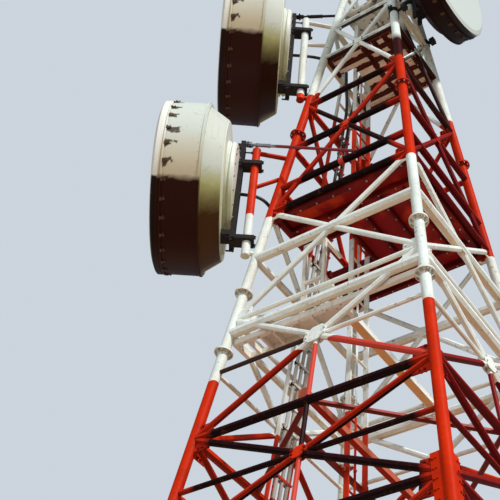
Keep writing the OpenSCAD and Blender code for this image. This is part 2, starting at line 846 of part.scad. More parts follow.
base_plates();
leg_front_left();
leg_front_right();
leg_back_right();
leg_back_left();
bracing_front_low();
bracing_right_low();
bracing_back_low();
bracing_left_low();
bracing_front_high();
bracing_right_high();
bracing_back_high();
bracing_left_high();
plan_brace_1();
plan_brace_2();
plan_brace_3();
plan_brace_4();
landing_deck();
middle_deck();
middle_deck_frame();
middle_deck_joists();
upper_deck();
upper_deck_frame();
top_deck();
ladder_low();
ladder_high();
hatch_guard();
cable_ladder();
feeder_cables();
drum1_radome();
drum1_shroud();
drum1_reflector();
drum1_bracket();
drum1_mount();
drum1_strut();
drum2_radome();
drum2_shroud();
drum2_reflector();
drum2_bracket();
drum2_mount();
drum2_strut();
drum3_radome();
drum3_shroud();
drum3_reflector();
drum3_bracket();
drum3_mount();
drum3_strut();
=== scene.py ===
# %% [markdown]
# # A lattice cell tower
# The real thing is a square steel tower, about 17.5 m tall, painted in red and white bands so that pilots
# see it. Four tube legs lean together, crossed bars brace each face, and three shrouded drum antennas hang
# on pipes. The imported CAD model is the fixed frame. This lesson gives it paint, rust, bolts, clips and
# cables.

import math

import bmesh
import bpy
from mathutils import Matrix, Vector


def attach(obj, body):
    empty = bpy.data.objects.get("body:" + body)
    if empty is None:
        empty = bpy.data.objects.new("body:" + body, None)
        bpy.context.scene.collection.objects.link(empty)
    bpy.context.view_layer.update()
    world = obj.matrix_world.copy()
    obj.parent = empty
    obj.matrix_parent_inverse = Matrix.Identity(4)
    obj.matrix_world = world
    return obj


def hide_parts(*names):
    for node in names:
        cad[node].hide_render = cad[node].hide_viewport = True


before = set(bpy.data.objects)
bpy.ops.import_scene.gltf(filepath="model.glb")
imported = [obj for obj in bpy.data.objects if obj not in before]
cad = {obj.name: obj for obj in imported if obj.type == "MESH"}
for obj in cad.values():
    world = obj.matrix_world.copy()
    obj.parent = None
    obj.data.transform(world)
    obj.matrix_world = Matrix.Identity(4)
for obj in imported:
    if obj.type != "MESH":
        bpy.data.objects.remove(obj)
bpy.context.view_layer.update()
print("CAD nodes:", len(cad))

# %% [markdown]
# ## The camera
# The photo was taken from the ground, close to the tower and with the camera tipped up and a little to
# one side. A camera's matrix is its right, up and backward directions. The angles could go into one
# rotation, but their order is easy to get wrong, so the three directions are worked out one by one.

# %% Camera
EYE = Vector((5.072, -8.618, 1.6))
YAW, PITCH, ROLL, TURN = (math.radians(a) for a in (-9.07, 44.36, 6.25, 30.48))


def camera_axes():
    forward = Vector((math.sin(YAW) * math.cos(PITCH), math.cos(YAW) * math.cos(PITCH), math.sin(PITCH)))
    level = Vector((math.cos(YAW), -math.sin(YAW), 0))
    above = level.cross(forward)
    right = math.cos(ROLL) * level + math.sin(ROLL) * above
    up = -math.sin(ROLL) * level + math.cos(ROLL) * above
    spin = Matrix.Rotation(TURN, 3, "Z")
    return spin @ right, spin @ up, spin @ forward


right, up, forward = camera_axes()
lens = bpy.data.cameras.new("camera")
lens.sensor_width = 36
lens.lens = 82.8
lens.clip_end = 500
camera = bpy.data.objects.new("camera", lens)
bpy.context.scene.collection.objects.link(camera)
camera.matrix_world = Matrix.Translation(EYE) @ Matrix((right, up, -forward)).transposed().to_4x4()
bpy.context.scene.camera = camera
print("camera at", tuple(EYE), "looks along", tuple(round(v, 3) for v in forward))

# %% [markdown]
# ## Where things are
# The new pieces sit on the CAD solids, so the same few sizes are needed again here: how wide the tower is
# at a height, how a face leans, and how a leg leans. A face and a leg are each given as a matrix, because
# one product then turns any local place into a tower place.

# %% Tower places
HEIGHT, FOOT, TOP = 17.5, 4.668, 0.614
JOINT_SHARES = (0.144, 0.2754, 0.3954, 0.4749, 0.5697, 0.6737, 0.7994, 0.9097)
JOINTS = [0.3] + [HEIGHT * share for share in JOINT_SHARES] + [17.44]
SLANT = (FOOT - TOP) / 2 / HEIGHT
LEAN = math.atan(SLANT)
LEG_R = 0.058
CORNERS = {"front_left": (-1, -1), "front_right": (1, -1), "back_right": (1, 1), "back_left": (-1, 1)}
# the guard bar above the middle deck, the upper deck and the top deck
KNEE_Z, DECK_Z, TOP_Z = JOINTS[6] + 0.45, JOINTS[8] - 0.79, JOINTS[8] + 0.43
LADDER_X = 0.3
RUNG_STEP = 0.3


def shift(x=0, y=0, z=0):
    return Matrix.Translation((x, y, z))


def turned(axis, degrees):
    return Matrix.Rotation(math.radians(degrees), 4, axis)


def half(z):
    return (FOOT - (FOOT - TOP) * z / HEIGHT) / 2


def face_place(i):
    """x across the face, y up the slope, z outwards"""
    return turned("Z", 90 * i) @ shift(0, -FOOT / 2, 0) @ Matrix.Rotation(math.pi / 2 - LEAN, 4, "X")


def slope(z):
    return z / math.cos(LEAN)


def leg_place(corner, z):
    """origin on the leg's axis at height z, local z along the leg"""
    sx, sy = CORNERS[corner]
    low = Vector((sx * half(0), sy * half(0), 0))
    high = Vector((sx * half(HEIGHT), sy * half(HEIGHT), HEIGHT))
    lean = Vector((0, 0, 1)).rotation_difference((high - low).normalized()).to_matrix().to_4x4()
    return Matrix.Translation(low.lerp(high, z / HEIGHT)) @ lean


def cross_height(a, b):
    """where the two diagonals of a panel cross"""
    return a + (b - a) * half(a) / (half(a) + half(b))


print("face width at the ground and top:", 2 * half(0), round(2 * half(HEIGHT), 3))

# %% [markdown]
# ## Light
# The sun stands behind the camera and to its right, 40 degrees high. A weak and very soft second lamp on
# the left and a dim even world fill the shade. The floor looks pale to the camera, but sends back the warm
# light of bare soil, which adds to the tan that the white undersides are painted with as shade. Light Path
# tells the two uses apart.

# %% Light and floor
scene = bpy.context.scene
scene.view_settings.view_transform = "Standard"
PALE_SKY, PALE_FLOOR = (0.60, 0.66, 0.72, 1), (0.66, 0.68, 0.70, 1)
DIM_SKY, SOIL = (0.78, 0.88, 1.0, 1), (0.56, 0.43, 0.31, 1)


def add_sun(name, azimuth, height, strength, angle, colour):
    data = bpy.data.lights.new(name, "SUN")
    data.energy = strength
    data.angle = math.radians(angle)
    data.color = colour
    sun = bpy.data.objects.new(name, data)
    scene.collection.objects.link(sun)
    a, h = math.radians(azimuth), math.radians(height)
    towards = Vector((math.cos(h) * math.cos(a), math.cos(h) * math.sin(a), math.sin(h)))
    sun.rotation_euler = towards.to_track_quat("Z", "Y").to_euler()


def told_apart(tree, kind, output, for_light, for_camera):
    """fills a tree with one shader for the light's rays and another for the camera's"""
    tree.nodes.clear()
    mix = tree.nodes.new("ShaderNodeMixShader")
    tree.links.new(tree.nodes.new("ShaderNodeLightPath").outputs["Is Camera Ray"], mix.inputs[0])
    for n, values in enumerate((for_light, for_camera), 1):
        shader = tree.nodes.new(kind)
        for key, value in values.items():
            shader.inputs[key].default_value = value
        tree.links.new(shader.outputs[0], mix.inputs[n])
    tree.links.new(mix.outputs[0], tree.nodes.new(output).inputs["Surface"])


add_sun("key", -18, 40, 3.3, 5, (1.0, 0.99, 0.97))
add_sun("fill", -92, 12, 0.76, 50, (0.88, 0.96, 1.0))

world = bpy.data.worlds.new("studio")
scene.world = world
world.use_nodes = True
told_apart(world.node_tree, "ShaderNodeBackground", "ShaderNodeOutputWorld",
           {"Color": DIM_SKY, "Strength": 0.24}, {"Color": PALE_SKY, "Strength": 1.0})

floor_bm = bmesh.new()
bmesh.ops.create_grid(floor_bm, x_segments=1, y_segments=1, size=60)
floor_mesh = bpy.data.meshes.new("floor")
floor_bm.to_mesh(floor_mesh)
floor_bm.free()
floor = bpy.data.objects.new("floor", floor_mesh)
scene.collection.objects.link(floor)

floor_mat = bpy.data.materials.new("floor_paint")
floor_mat.use_nodes = True
told_apart(floor_mat.node_tree, "ShaderNodeBsdfDiffuse", "ShaderNodeOutputMaterial",
           {"Color": SOIL}, {"Color": PALE_FLOOR})
floor_mesh.materials.append(floor_mat)

# %% [markdown]
# ## Finishes as node groups
# Paint on such a tower is much the same everywhere: two colours in bands, a patchy tone, rust runs, chips,
# worn edges, and dirt on the undersides. Node groups put these out as masks. Each group is built once, and
# every material places it with its own values. Object coordinates keep a pattern fixed to the steel.
#
# A socket knows the tree it belongs to, so the helpers below find the tree from the values they are
# given.


# %% Helpers for node trees
def feed(socket, value):
    """sets a socket to a number or a colour, or joins another node's output to it"""
    if isinstance(value, bpy.types.NodeSocket):
        socket.id_data.links.new(value, socket)
    elif socket.type == "RGBA":
        socket.default_value = (*value[:3], 1)
    else:
        socket.default_value = value


def node_among(kind, *values):
    """a new node in the tree of the first of the values that is a socket"""
    return next(v for v in values if isinstance(v, bpy.types.NodeSocket)).id_data.nodes.new(kind)


def math_node(op, *values, clamp=False):
    node = node_among("ShaderNodeMath", *values)
    node.operation = op
    node.use_clamp = clamp
    for socket, value in zip(node.inputs, values):
        feed(socket, value)
    return node.outputs[0]


def chain(op):
    """a function that takes any number of values, each joined to the last by one kind of Math node"""
    def joined_values(first, *rest):
        for value in rest:
            first = math_node(op, first, value)
        return first
    return joined_values


plus, minus, times = chain("ADD"), chain("SUBTRACT"), chain("MULTIPLY")
most, least = chain("MAXIMUM"), chain("MINIMUM")
is_over, is_under = chain("GREATER_THAN"), chain("LESS_THAN")


def size_of(value):
    return math_node("ABSOLUTE", value)


def mix_colour(fac, a, b, blend="MIX"):
    node = node_among("ShaderNodeMix", fac, a, b)
    node.data_type = "RGBA"
    node.blend_type = blend
    feed(node.inputs[0], fac)
    feed(node.inputs[6], a)
    feed(node.inputs[7], b)
    return node.outputs[2]


def remap(value, low, high, to_low=0.0, to_high=1.0):
    node = node_among("ShaderNodeMapRange", value)
    keys = ("Value", "From Min", "From Max", "To Min", "To Max")
    for key, v in zip(keys, (value, low, high, to_low, to_high)):
        feed(node.inputs[key], v)
    return node.outputs["Result"]


def noise(vector, scale, detail=4.0, rough=0.55, stretch=None):
    if stretch:
        mapping = node_among("ShaderNodeMapping", vector)
        feed(mapping.inputs["Scale"], stretch)
        feed(mapping.inputs["Vector"], vector)
        vector = mapping.outputs[0]
    node = node_among("ShaderNodeTexNoise", vector)
    for key, v in (("Vector", vector), ("Scale", scale), ("Detail", detail), ("Roughness", rough)):
        feed(node.inputs[key], v)
    return node.outputs["Fac"]


def axes_of(vector):
    node = node_among("ShaderNodeSeparateXYZ", vector)
    feed(node.inputs[0], vector)
    return node.outputs


def new_group(name, outputs, **numbers):
    """a group that takes a Vector and named numbers, and puts out named masks"""
    tree = bpy.data.node_groups.new(name, "ShaderNodeTree")
    tree.interface.new_socket("Vector", in_out="INPUT", socket_type="NodeSocketVector")
    for label, value in numbers.items():
        socket = tree.interface.new_socket(label, in_out="INPUT", socket_type="NodeSocketFloat")
        socket.default_value = value
    for label in outputs:
        tree.interface.new_socket(label, in_out="OUTPUT", socket_type="NodeSocketFloat")
    print("group", name, "puts out", *outputs)
    return tree, tree.nodes.new("NodeGroupInput").outputs, tree.nodes.new("NodeGroupOutput").inputs


# %% [markdown]
# Aviation bands change every 2.5 m or so. The bars could be cut in two at each change, but a constant
# colour ramp over the height needs no cuts. A little noise makes the painter's edge uneven.

# %% Group: painted bands
BAND_TOP = 18.0
BAND_EDGES = ((1.4, 0), (3.9, 1), (6.4, 0), (9.05, 1), (11.66, 0), (14.2, 1))
bands, given, result = new_group("painted_bands", ("White",))
wobble = remap(noise(given["Vector"], 7.0, 3), 0.3, 0.7, -0.012, 0.012)
ramp = bands.nodes.new("ShaderNodeValToRGB")
feed(ramp.inputs[0], math_node("DIVIDE", plus(axes_of(given["Vector"])["Z"], wobble), BAND_TOP))
stops = ramp.color_ramp.elements
ramp.color_ramp.interpolation = "CONSTANT"
stops.remove(stops[1])
stops[0].color = (1, 1, 1, 1)
for z, white in BAND_EDGES:
    stops.new(z / BAND_TOP).color = (white, white, white, 1)
feed(result["White"], ramp.outputs["Color"])
print("bands:", len(stops))

# %% [markdown]
# Weathering puts out three masks: a broad mottle, rust runs drawn out downwards, and small chips with a
# hard edge. Its fourth value is a height for the Bump node, which gives brush marks and lets the chips
# sink.

# %% Group: weathering
weather, given, result = new_group("weathering", ("Mottle", "Runs", "Chips", "Height"), Runs=0.4, Chips=0.4)
place = given["Vector"]
broad = noise(place, 2.3, 5, 0.6)
mottle = plus(times(noise(place, 26.0, 4, 0.6), 0.35), times(broad, 0.65))
streak = noise(place, 1.0, 5, 0.6, (24, 24, 1.1))
specks = plus(noise(place, 17.0, 6, 0.68), times(noise(place, 3.1, 3, 0.5), 0.35))
chips = math_node("MULTIPLY", remap(specks, 0.80, 0.83), given["Chips"], clamp=True)
feed(result["Mottle"], remap(mottle, 0.34, 0.66))
feed(result["Runs"], times(remap(streak, 0.56, 0.74), remap(broad, 0.40, 0.62), given["Runs"]))
feed(result["Chips"], chips)
feed(result["Height"], minus(times(noise(place, 90.0, 3, 0.5), 0.35), chips))

# %% [markdown]
# The undersides turn dark, partly from grime and partly as painted shade. The normal's z says which way a
# surface faces, and noise breaks up the edge of the dark part.

# %% Group: dirt and shade below
below, given, result = new_group("dirt_below", ("DirtAndShade",), Start=0.15, Full=-0.6, Ragged=0.2)
facing = axes_of(below.nodes.new("ShaderNodeNewGeometry").outputs["Normal"])["Z"]
patch = remap(noise(given["Vector"], 5.0, 6, 0.62), 0.3, 0.7, -1.0, 1.0)
tilt = minus(plus(facing, times(patch, given["Ragged"])), given["Start"])
feed(result["DirtAndShade"], math_node("DIVIDE", tilt, minus(given["Full"], given["Start"]), clamp=True))

# %% [markdown]
# Paint rubs thin at corners. The Bevel node gives a rounded normal, and where that differs from the plain
# one there is an edge of a CAD solid. Noise keeps the wear to stretches of the edges.

# %% Group: worn edges
edges, given, result = new_group("worn_edges", ("Worn",), Width=0.006)
soft = edges.nodes.new("ShaderNodeBevel")
soft.samples = 3
feed(soft.inputs["Radius"], given["Width"])
dot = edges.nodes.new("ShaderNodeVectorMath")
dot.operation = "DOT_PRODUCT"
feed(dot.inputs[0], soft.outputs["Normal"])
feed(dot.inputs[1], edges.nodes.new("ShaderNodeNewGeometry").outputs["Normal"])
rub = remap(noise(given["Vector"], 13.0, 4, 0.6), 0.46, 0.60)
feed(result["Worn"], times(remap(dot.outputs["Value"], 0.985, 0.90), rub))

# %% [markdown]
# ## The tower's paint
# One function turns a pair of colours into a finished material. The steps come in the order of the real
# steel's life: paint, fading, dark undersides, rust runs, then chips down to rust. The dark undersides are
# partly grime and partly painted shade.

# %% Paint material
RED, WHITE = (0.68, 0.030, 0.001), (0.84, 0.90, 0.88)
# the underside colours of red and white paint: partly grime, partly painted shade
SOOT_AND_SHADE, TAN = (0.085, 0.006, 0.006), (0.76, 0.58, 0.39)
RUST = (0.16, 0.050, 0.016)


def place_group(group, **values):
    node = node_among("ShaderNodeGroup", *values.values())
    node.node_tree = group
    for key, value in values.items():
        feed(node.inputs[key], value)
    return node.outputs


def facing_down(where, start, full, ragged):
    return place_group(below, Vector=where, Start=start, Full=full, Ragged=ragged)["DirtAndShade"]


def new_material(name, sheen):
    """a material, its shader and the Object coordinates that its patterns read"""
    mat = bpy.data.materials.new(name)
    mat.use_nodes = True
    shader = mat.node_tree.nodes["Principled BSDF"]
    shader.inputs["Specular IOR Level"].default_value = sheen
    return mat, shader, mat.node_tree.nodes.new("ShaderNodeTexCoord").outputs["Object"]


def bumped(shader, height, strength, distance):
    relief = node_among("ShaderNodeBump", height)
    for key, value in (("Strength", strength), ("Distance", distance), ("Height", height)):
        feed(relief.inputs[key], value)
    feed(shader.inputs["Normal"], relief.outputs[0])


def painted(name, red=RED, white=WHITE, banded=True, runs=0.5, chips=0.5, dirt=0.8, rough=0.5,
            soot_and_shade=SOOT_AND_SHADE, tan=TAN, fade=0.16, edge=0.006, bump=0.12, start=0.1, full=-0.55, ragged=0.2,
            sheen=0.25, bright=False):
    """bright keeps the sides of white bars light, so that only their undersides take the tan of painted
    shade
    """
    mat, shader, where = new_material(name, sheen)
    wx = place_group(weather, Vector=where, Runs=runs, Chips=chips)
    if banded:
        mask = place_group(bands, Vector=where)["White"]
        colour, dark = mix_colour(mask, red, white), mix_colour(mask, soot_and_shade, tan)
    else:
        colour = mix_colour(wx["Mottle"], red, [c * 0.9 for c in red])
        dark = mix_colour(wx["Mottle"], soot_and_shade, [c * 1.25 for c in soot_and_shade])
    faded = mix_colour(1.0, colour, [1 + fade] * 3, "MULTIPLY")
    deep = mix_colour(1.0, colour, (1 - fade, 1 - fade * 1.1, 1 - fade * 1.25), "MULTIPLY")
    colour = mix_colour(wx["Mottle"], deep, faded)
    # undersides darken towards those colours: partly grime, partly painted shade
    under = times(facing_down(where, start, full, ragged), dirt)
    if bright:
        under = most(times(under, minus(1.0, mask)), times(facing_down(where, -0.70, -0.90, 0.12), mask))
    colour = mix_colour(under, colour, dark)
    colour = mix_colour(wx["Runs"], colour, mix_colour(0.5, colour, RUST))
    worn = place_group(edges, Vector=where, Width=edge)["Worn"]
    bare = most(wx["Chips"], times(worn, min(1.0, chips * 1.3)))
    feed(shader.inputs["Base Color"], mix_colour(bare, colour, RUST))
    feed(shader.inputs["Roughness"], plus(times(bare, 0.35), rough))
    bumped(shader, wx["Height"], bump, 0.004)
    return mat


# %% [markdown]
# Some pieces differ from the rest only in places, so they need no paint function of their own. A finished
# material is opened again: its colour so far and its coordinates are read back, a mask is worked out from
# the place or from the way a surface faces, and another colour goes on top.


# %% Colours laid over a finish
def opened(mat):
    """the colour that a finished material has so far, and its Object coordinates"""
    nodes = mat.node_tree.nodes
    before = nodes["Principled BSDF"].inputs["Base Color"].links[0].from_socket
    return before, nodes["Texture Coordinate"].outputs["Object"]


def overlaid(mat, mask, before, colour):
    feed(mat.node_tree.nodes["Principled BSDF"].inputs["Base Color"], mix_colour(mask, before, colour))
    return mat


def shaded(mat, low, high, colour, start, full):
    """lays a colour of painted shade over the surfaces that face down, between two heights"""
    before, where = opened(mat)
    z = axes_of(where)["Z"]
    mask = times(facing_down(where, start, full, 0.1), remap(z, low - 0.03, low + 0.03))
    return overlaid(mat, times(mask, remap(z, high + 0.08, high - 0.08)), before, colour)


def two_toned(mat, axis, low, high, colour, share):
    """lays a colour over one side of a place, with a short change between"""
    before, where = opened(mat)
    return overlaid(mat, remap(axes_of(where)[axis], low, high, 0.0, share), before, colour)


def patched(name, ground, patch, low, high, scale, **values):
    """broad patches of a second colour, from a slow noise with a hard edge"""
    mat = painted(name, red=ground, banded=False, soot_and_shade=ground, **values)
    before, where = opened(mat)
    return overlaid(mat, remap(noise(where, scale, 6, 0.62), low, high), before, patch)


LEG = dict(red=(0.60, 0.024, 0.001), white=(0.75, 0.83, 0.81), chips=0.5, runs=0.45, dirt=0.7, sheen=0.06)
leg_paint = painted("leg_paint", **LEG)
# the front right leg gets a band of painted shadow from 14.1 m to 14.66 m
leg_painted_shadow = shaded(painted("leg_painted_shadow", **LEG), 14.10, 14.66, (0.040, 0.004, 0.004), 1.6, 1.2)
brace_paint = painted("brace_paint", chips=0.6, runs=0.5, dirt=0.6, start=-0.1, sheen=0.12, bright=True)

# %% [markdown]
# The front face's red bars take three tones. Those that rise to the right are a lively red, and so are the
# ends of all bars near the legs. The middle posts and the falling bars of the fifth panel are brighter
# still. The rest is almost black, as are the left part of that panel's thin white bar and all undersides
# higher than 14.4 m; this near black is painted shade, partly grime. A rising bar of one panel is a
# straight line x = a + b z, so it is found by how close x comes to that line. The right face has one darker
# red, partly painted shade, and its undersides are almost black between 13.9 m and 15.5 m, as painted
# shade.


# %% Front and right bracing
BAR_ROOM, POST_ROOM, LEVEL_ROOM, THIN_ROOM = 0.075, 0.034, 0.055, 0.045
DULL_POST = (7.60, 8.28)
DARK_FROM = 14.4


def near_line(x, z, p):
    """marks the rising bar of panel p"""
    low, high = JOINTS[p], JOINTS[p + 1]
    b = (half(high) + half(low)) / (high - low)
    line = math_node("MULTIPLY_ADD", z, b, -half(low) - b * low)
    between = times(is_over(z, low + 0.05), is_under(z, high - 0.05))
    return times(is_under(size_of(minus(x, line)), BAR_ROOM), between)


def sorted_bars(name, rising, post, soot_and_shade, **values):
    mat = painted(name, soot_and_shade=soot_and_shade, **values)
    before, where = opened(mat)
    axes = axes_of(where)
    x, z = axes["X"], axes["Z"]
    white = place_group(bands, Vector=where)["White"]
    is_red = minus(1.0, white)
    rise = most(*[near_line(x, z, p) for p in (0, 1, 2, 3, 4, 6, 7)])
    ends = remap(minus(FOOT / 2, times(z, SLANT), size_of(x)), 0.26, 0.17)
    fall = near_line(times(x, -1.0), z, 4)
    dull = times(is_over(z, DULL_POST[0]), is_under(z, DULL_POST[1]))
    middle = times(is_under(size_of(x), POST_ROOM), minus(1.0, dull))
    for level in JOINTS[1:9]:
        middle = times(middle, is_over(size_of(minus(z, level)), LEVEL_ROOM))
    # the rising bars' undersides turn darker, as painted shade
    rising_low = [c + (s - c) * 0.55 for c, s in zip(rising, soot_and_shade)]
    lively = mix_colour(facing_down(where, 0.05, -0.75, 0.25), rising, rising_low)
    colour = mix_colour(times(most(rise, ends), is_red), before, lively)
    for mask in (fall, middle):
        colour = mix_colour(times(mask, is_red), colour, post)
    # the thin bar's left part and the undersides above 14.4 m take near black, painted shade
    thin = is_under(size_of(minus(z, cross_height(JOINTS[4], JOINTS[5]))), THIN_ROOM)
    thin = times(thin, is_under(x, -0.1), white)
    underside = times(facing_down(where, -0.55, -0.75, 0.1), remap(z, DARK_FROM, DARK_FROM + 0.2))
    return overlaid(mat, most(thin, underside), colour, (0.050, 0.030, 0.026))


# the front face's own red here is the near black, painted shade and partly grime; tan is painted shade
# under white
brace_front = sorted_bars("brace_front", (0.52, 0.022, 0.004), (0.66, 0.07, 0.05), (0.006, 0.001, 0.002),
                          red=(0.034, 0.003, 0.005), tan=(0.86, 0.75, 0.58), chips=0.4, runs=0.5, dirt=0.95,
                          start=0.45, full=-0.2, sheen=0.08, bright=True)
# the right face: a darker red, partly painted shade, and painted shade on its undersides from 13.9 m to
# 15.5 m
brace_right = painted("brace_right", red=(0.30, 0.006, 0.004), soot_and_shade=(0.08, 0.003, 0.004), chips=0.5,
                      runs=0.5, dirt=0.85, start=0.3, sheen=0.08, bright=True)
shaded(brace_right, 13.9, 15.5, (0.035, 0.009, 0.006), 0.35, 0.05)
plan_paint = painted("plan_paint", red=(0.42, 0.02, 0.006), soot_and_shade=(0.10, 0.006, 0.006), chips=0.5, dirt=0.8,
                     bright=True)
ladder_paint = painted("ladder_paint", chips=0.5, edge=0.004, dirt=0.5)
mount_paint = painted("mount_paint", white=(0.77, 0.84, 0.83), chips=0.4, runs=0.3, dirt=0.6, sheen=0.1)
print("paints ready")

# %% [markdown]
# ## The decks' paint
# The middle deck's underside is dark red as painted shade, with broad patches of brighter red as painted
# bounce light. On the upper deck, a dark brown band spreads over the plate beside each joist and leaves
# small pale squares.

# %% Deck paints
deck_white = painted("deck_white", red=(0.82, 0.79, 0.72), banded=False, chips=0.6, runs=0.8, dirt=0.6,
                     soot_and_shade=(0.84, 0.76, 0.66))
deck_cream = painted("deck_cream", red=(0.95, 0.90, 0.78), banded=False, chips=0.6, runs=0.8, dirt=0.9,
                     fade=0.3, soot_and_shade=(0.95, 0.85, 0.70))
joist_brown = painted("joist_brown", red=(0.14, 0.025, 0.014), banded=False, chips=0.4, runs=0.5, dirt=0.9,
                      soot_and_shade=(0.040, 0.009, 0.006), sheen=0.12)
# deck_red: a dark red of painted shade, with bright patches of painted bounce light
deck_red = patched("deck_red", (0.26, 0.008, 0.010), (0.60, 0.040, 0.008), 0.50, 0.62, 1.5,
                   chips=0.3, runs=0.4, sheen=0.1)
deck_mottled = patched("deck_mottled", (0.78, 0.74, 0.66), (0.14, 0.10, 0.07), 0.56, 0.62, 8.0,
                       chips=0.9, runs=0.8)
deck_beam = patched("deck_beam", (0.11, 0.005, 0.006), (0.36, 0.018, 0.006), 0.54, 0.66, 1.3,
                    chips=0.3, runs=0.4, sheen=0.1)

JOIST_SHARES = (("X", (-0.02, 0.30, 0.62)), ("Y", (-0.68, -0.38, 0.34, 0.66)))
deck_half = half(DECK_Z) - 0.037
before, where = opened(deck_cream)
axes = axes_of(where)
nearest = least(*[size_of(minus(axes[axis], share * deck_half + 0.012))
                  for axis, shares in JOIST_SHARES for share in shares])
spread = remap(noise(where, 14.0, 4, 0.6), 0.3, 0.7, 0.024, 0.058)
dark_mark = times(is_under(nearest, spread), facing_down(where, -0.3, -0.5, 0.0))
overlaid(deck_cream, dark_mark, before, (0.11, 0.020, 0.010))
print("deck paints ready, the upper deck is", round(2 * deck_half, 2), "m across")

# %% [markdown]
# ## Other finishes
# Galvanised steel is a patchwork of zinc crystals, which Voronoi cells copy. Dark clamps are old
# galvanised steel gone brown-black. Cable jackets are dull rubber, bleached pale below the middle deck.


# %% Bare steel, dark fittings, cable
def plain(name, colour, second, scale, rough, metal, rust, sheen=0.5):
    mat, shader, where = new_material(name, sheen)
    shader.inputs["Metallic"].default_value = metal
    cells = node_among("ShaderNodeTexVoronoi", where)
    feed(cells.inputs["Scale"], scale)
    feed(cells.inputs["Vector"], where)
    patch = noise(where, scale * 0.4, 5, 0.6)
    both = math_node("MULTIPLY_ADD", cells.outputs["Distance"], 0.4, patch)
    tone = mix_colour(remap(both, 0.35, 0.85), colour, second)
    wx = place_group(weather, Vector=where, Runs=rust, Chips=rust)
    feed(shader.inputs["Base Color"], mix_colour(most(wx["Runs"], wx["Chips"]), tone, RUST))
    feed(shader.inputs["Roughness"], remap(patch, 0.3, 0.7, rough - 0.08, rough + 0.12))
    bumped(shader, patch, 0.1, 0.003)
    return mat


ROD, ROD_LIGHT = (0.16, 0.18, 0.20), (0.34, 0.38, 0.42)
steel_base = plain("steel_base", (0.36, 0.36, 0.34), (0.50, 0.50, 0.48), 40, 0.5, 0.35, 0.8)
bolt_zinc = plain("bolt_zinc", (0.30, 0.28, 0.25), (0.46, 0.44, 0.40), 90, 0.45, 0.55, 0.9)
bracket_dark = plain("bracket_dark", (0.009, 0.008, 0.009), (0.026, 0.022, 0.022), 60, 0.55, 0.0, 0.2, 0.12)
clamp_black = plain("clamp_black", (0.007, 0.007, 0.008), (0.020, 0.018, 0.018), 80, 0.6, 0.0, 0.1, 0.15)
clip_rust = plain("clip_rust", (0.060, 0.030, 0.018), (0.14, 0.075, 0.045), 60, 0.6, 0.0, 0.1, 0.1)
cable_black = plain("cable_black", (0.012, 0.012, 0.013), (0.045, 0.042, 0.038), 30, 0.5, 0.0, 0.0)
two_toned(cable_black, "Z", 11.95, 11.75, (0.66, 0.62, 0.55), 0.8)
strut_steel = plain("strut_steel", ROD, ROD_LIGHT, 70, 0.38, 0.55, 0.4)
strut_painted = plain("strut_painted", ROD, ROD_LIGHT, 70, 0.45, 0.0, 0.4, 0.25)
two_toned(strut_painted, "X", -0.90, -0.86, (0.24, 0.010, 0.012), 0.95)
print("materials so far:", len(bpy.data.materials))

# %% [markdown]
# ## The drums' finish
# A drum's shroud is painted sheet metal. Rows of clips stretch the radome over the rim, and a dark smudge
# runs back from each clip. The pattern follows the drum's own axis, so a Mapping node first turns the
# tower's coordinates into the drum's: x along the axis, y across, z up. An angle and a distance along the
# axis then place each smudge.

# %% Drum places
DRUMS = (1, 2, 3)
DRUM_R, PIPE_R, RADOME_T = 1.08, 0.052, 0.08


def by_drum(side, third):
    """the two side drums share a value, and the third has its own"""
    return {1: side, 2: side, 3: third}


SHROUD, CONE, HUB = by_drum(0.496, 0.25), by_drum(0.25, 0.13), by_drum(0.112, 0.06)
DEPTH = {k: RADOME_T + SHROUD[k] + CONE[k] + HUB[k] for k in DRUMS}
AIM = {1: math.radians(-144.5), 2: math.radians(-143), 3: 0.0}
DRUM_Z = {1: JOINTS[6] + 0.372, 2: JOINTS[7] + 1.258, 3: HEIGHT - 1.0}
PIPE_TOP = {1: DRUM_Z[1] + 0.683 * DRUM_R, 2: DRUM_Z[2] + 0.706 * DRUM_R, 3: HEIGHT - 0.16}
PIPE_LOW = {1: DRUM_Z[1] - 1.076 * DRUM_R, 2: DRUM_Z[2] - 1.054 * DRUM_R,
            3: min(JOINTS[8] - 0.06, DRUM_Z[3] - 0.593 * DRUM_R)}
PIPE_C = {1: half(PIPE_LOW[1] + 0.03) + 0.1, 2: half(PIPE_LOW[2] + 0.04) + 0.1}
PIPE_XY = {k: (-PIPE_C[k], -PIPE_C[k]) for k in (1, 2)}
PIPE_XY[3] = (half(JOINTS[8]) + 0.046 + PIPE_R + 0.024, -0.2)
PIPE_BACK = by_drum(1.149, DEPTH[3] + 0.06 + 0.04 + PIPE_R)
PIPE_SIDE = by_drum(-0.062, 0.0)


def drum_place(k):
    """origin at the middle of the front, x forwards along the axis"""
    x, y = PIPE_XY[k]
    return shift(x, y, DRUM_Z[k]) @ Matrix.Rotation(AIM[k], 4, "Z") @ shift(PIPE_BACK[k], PIPE_SIDE[k], 0)


for k in DRUMS:
    print("drum", k, "front at", [round(v, 3) for v in drum_place(k).translation])

# %% [markdown]
# A drum is light on top, olive below its middle and nearly black underneath. The olive and the near black
# are painted shade. A gradient down the world's z would draw straight borders, so the tones follow how far
# round the drum a place is, and noise frays them. The shroud, the rear and the radome each take their own
# share of the same masks.

# %% Drum materials
CLIPS = 30


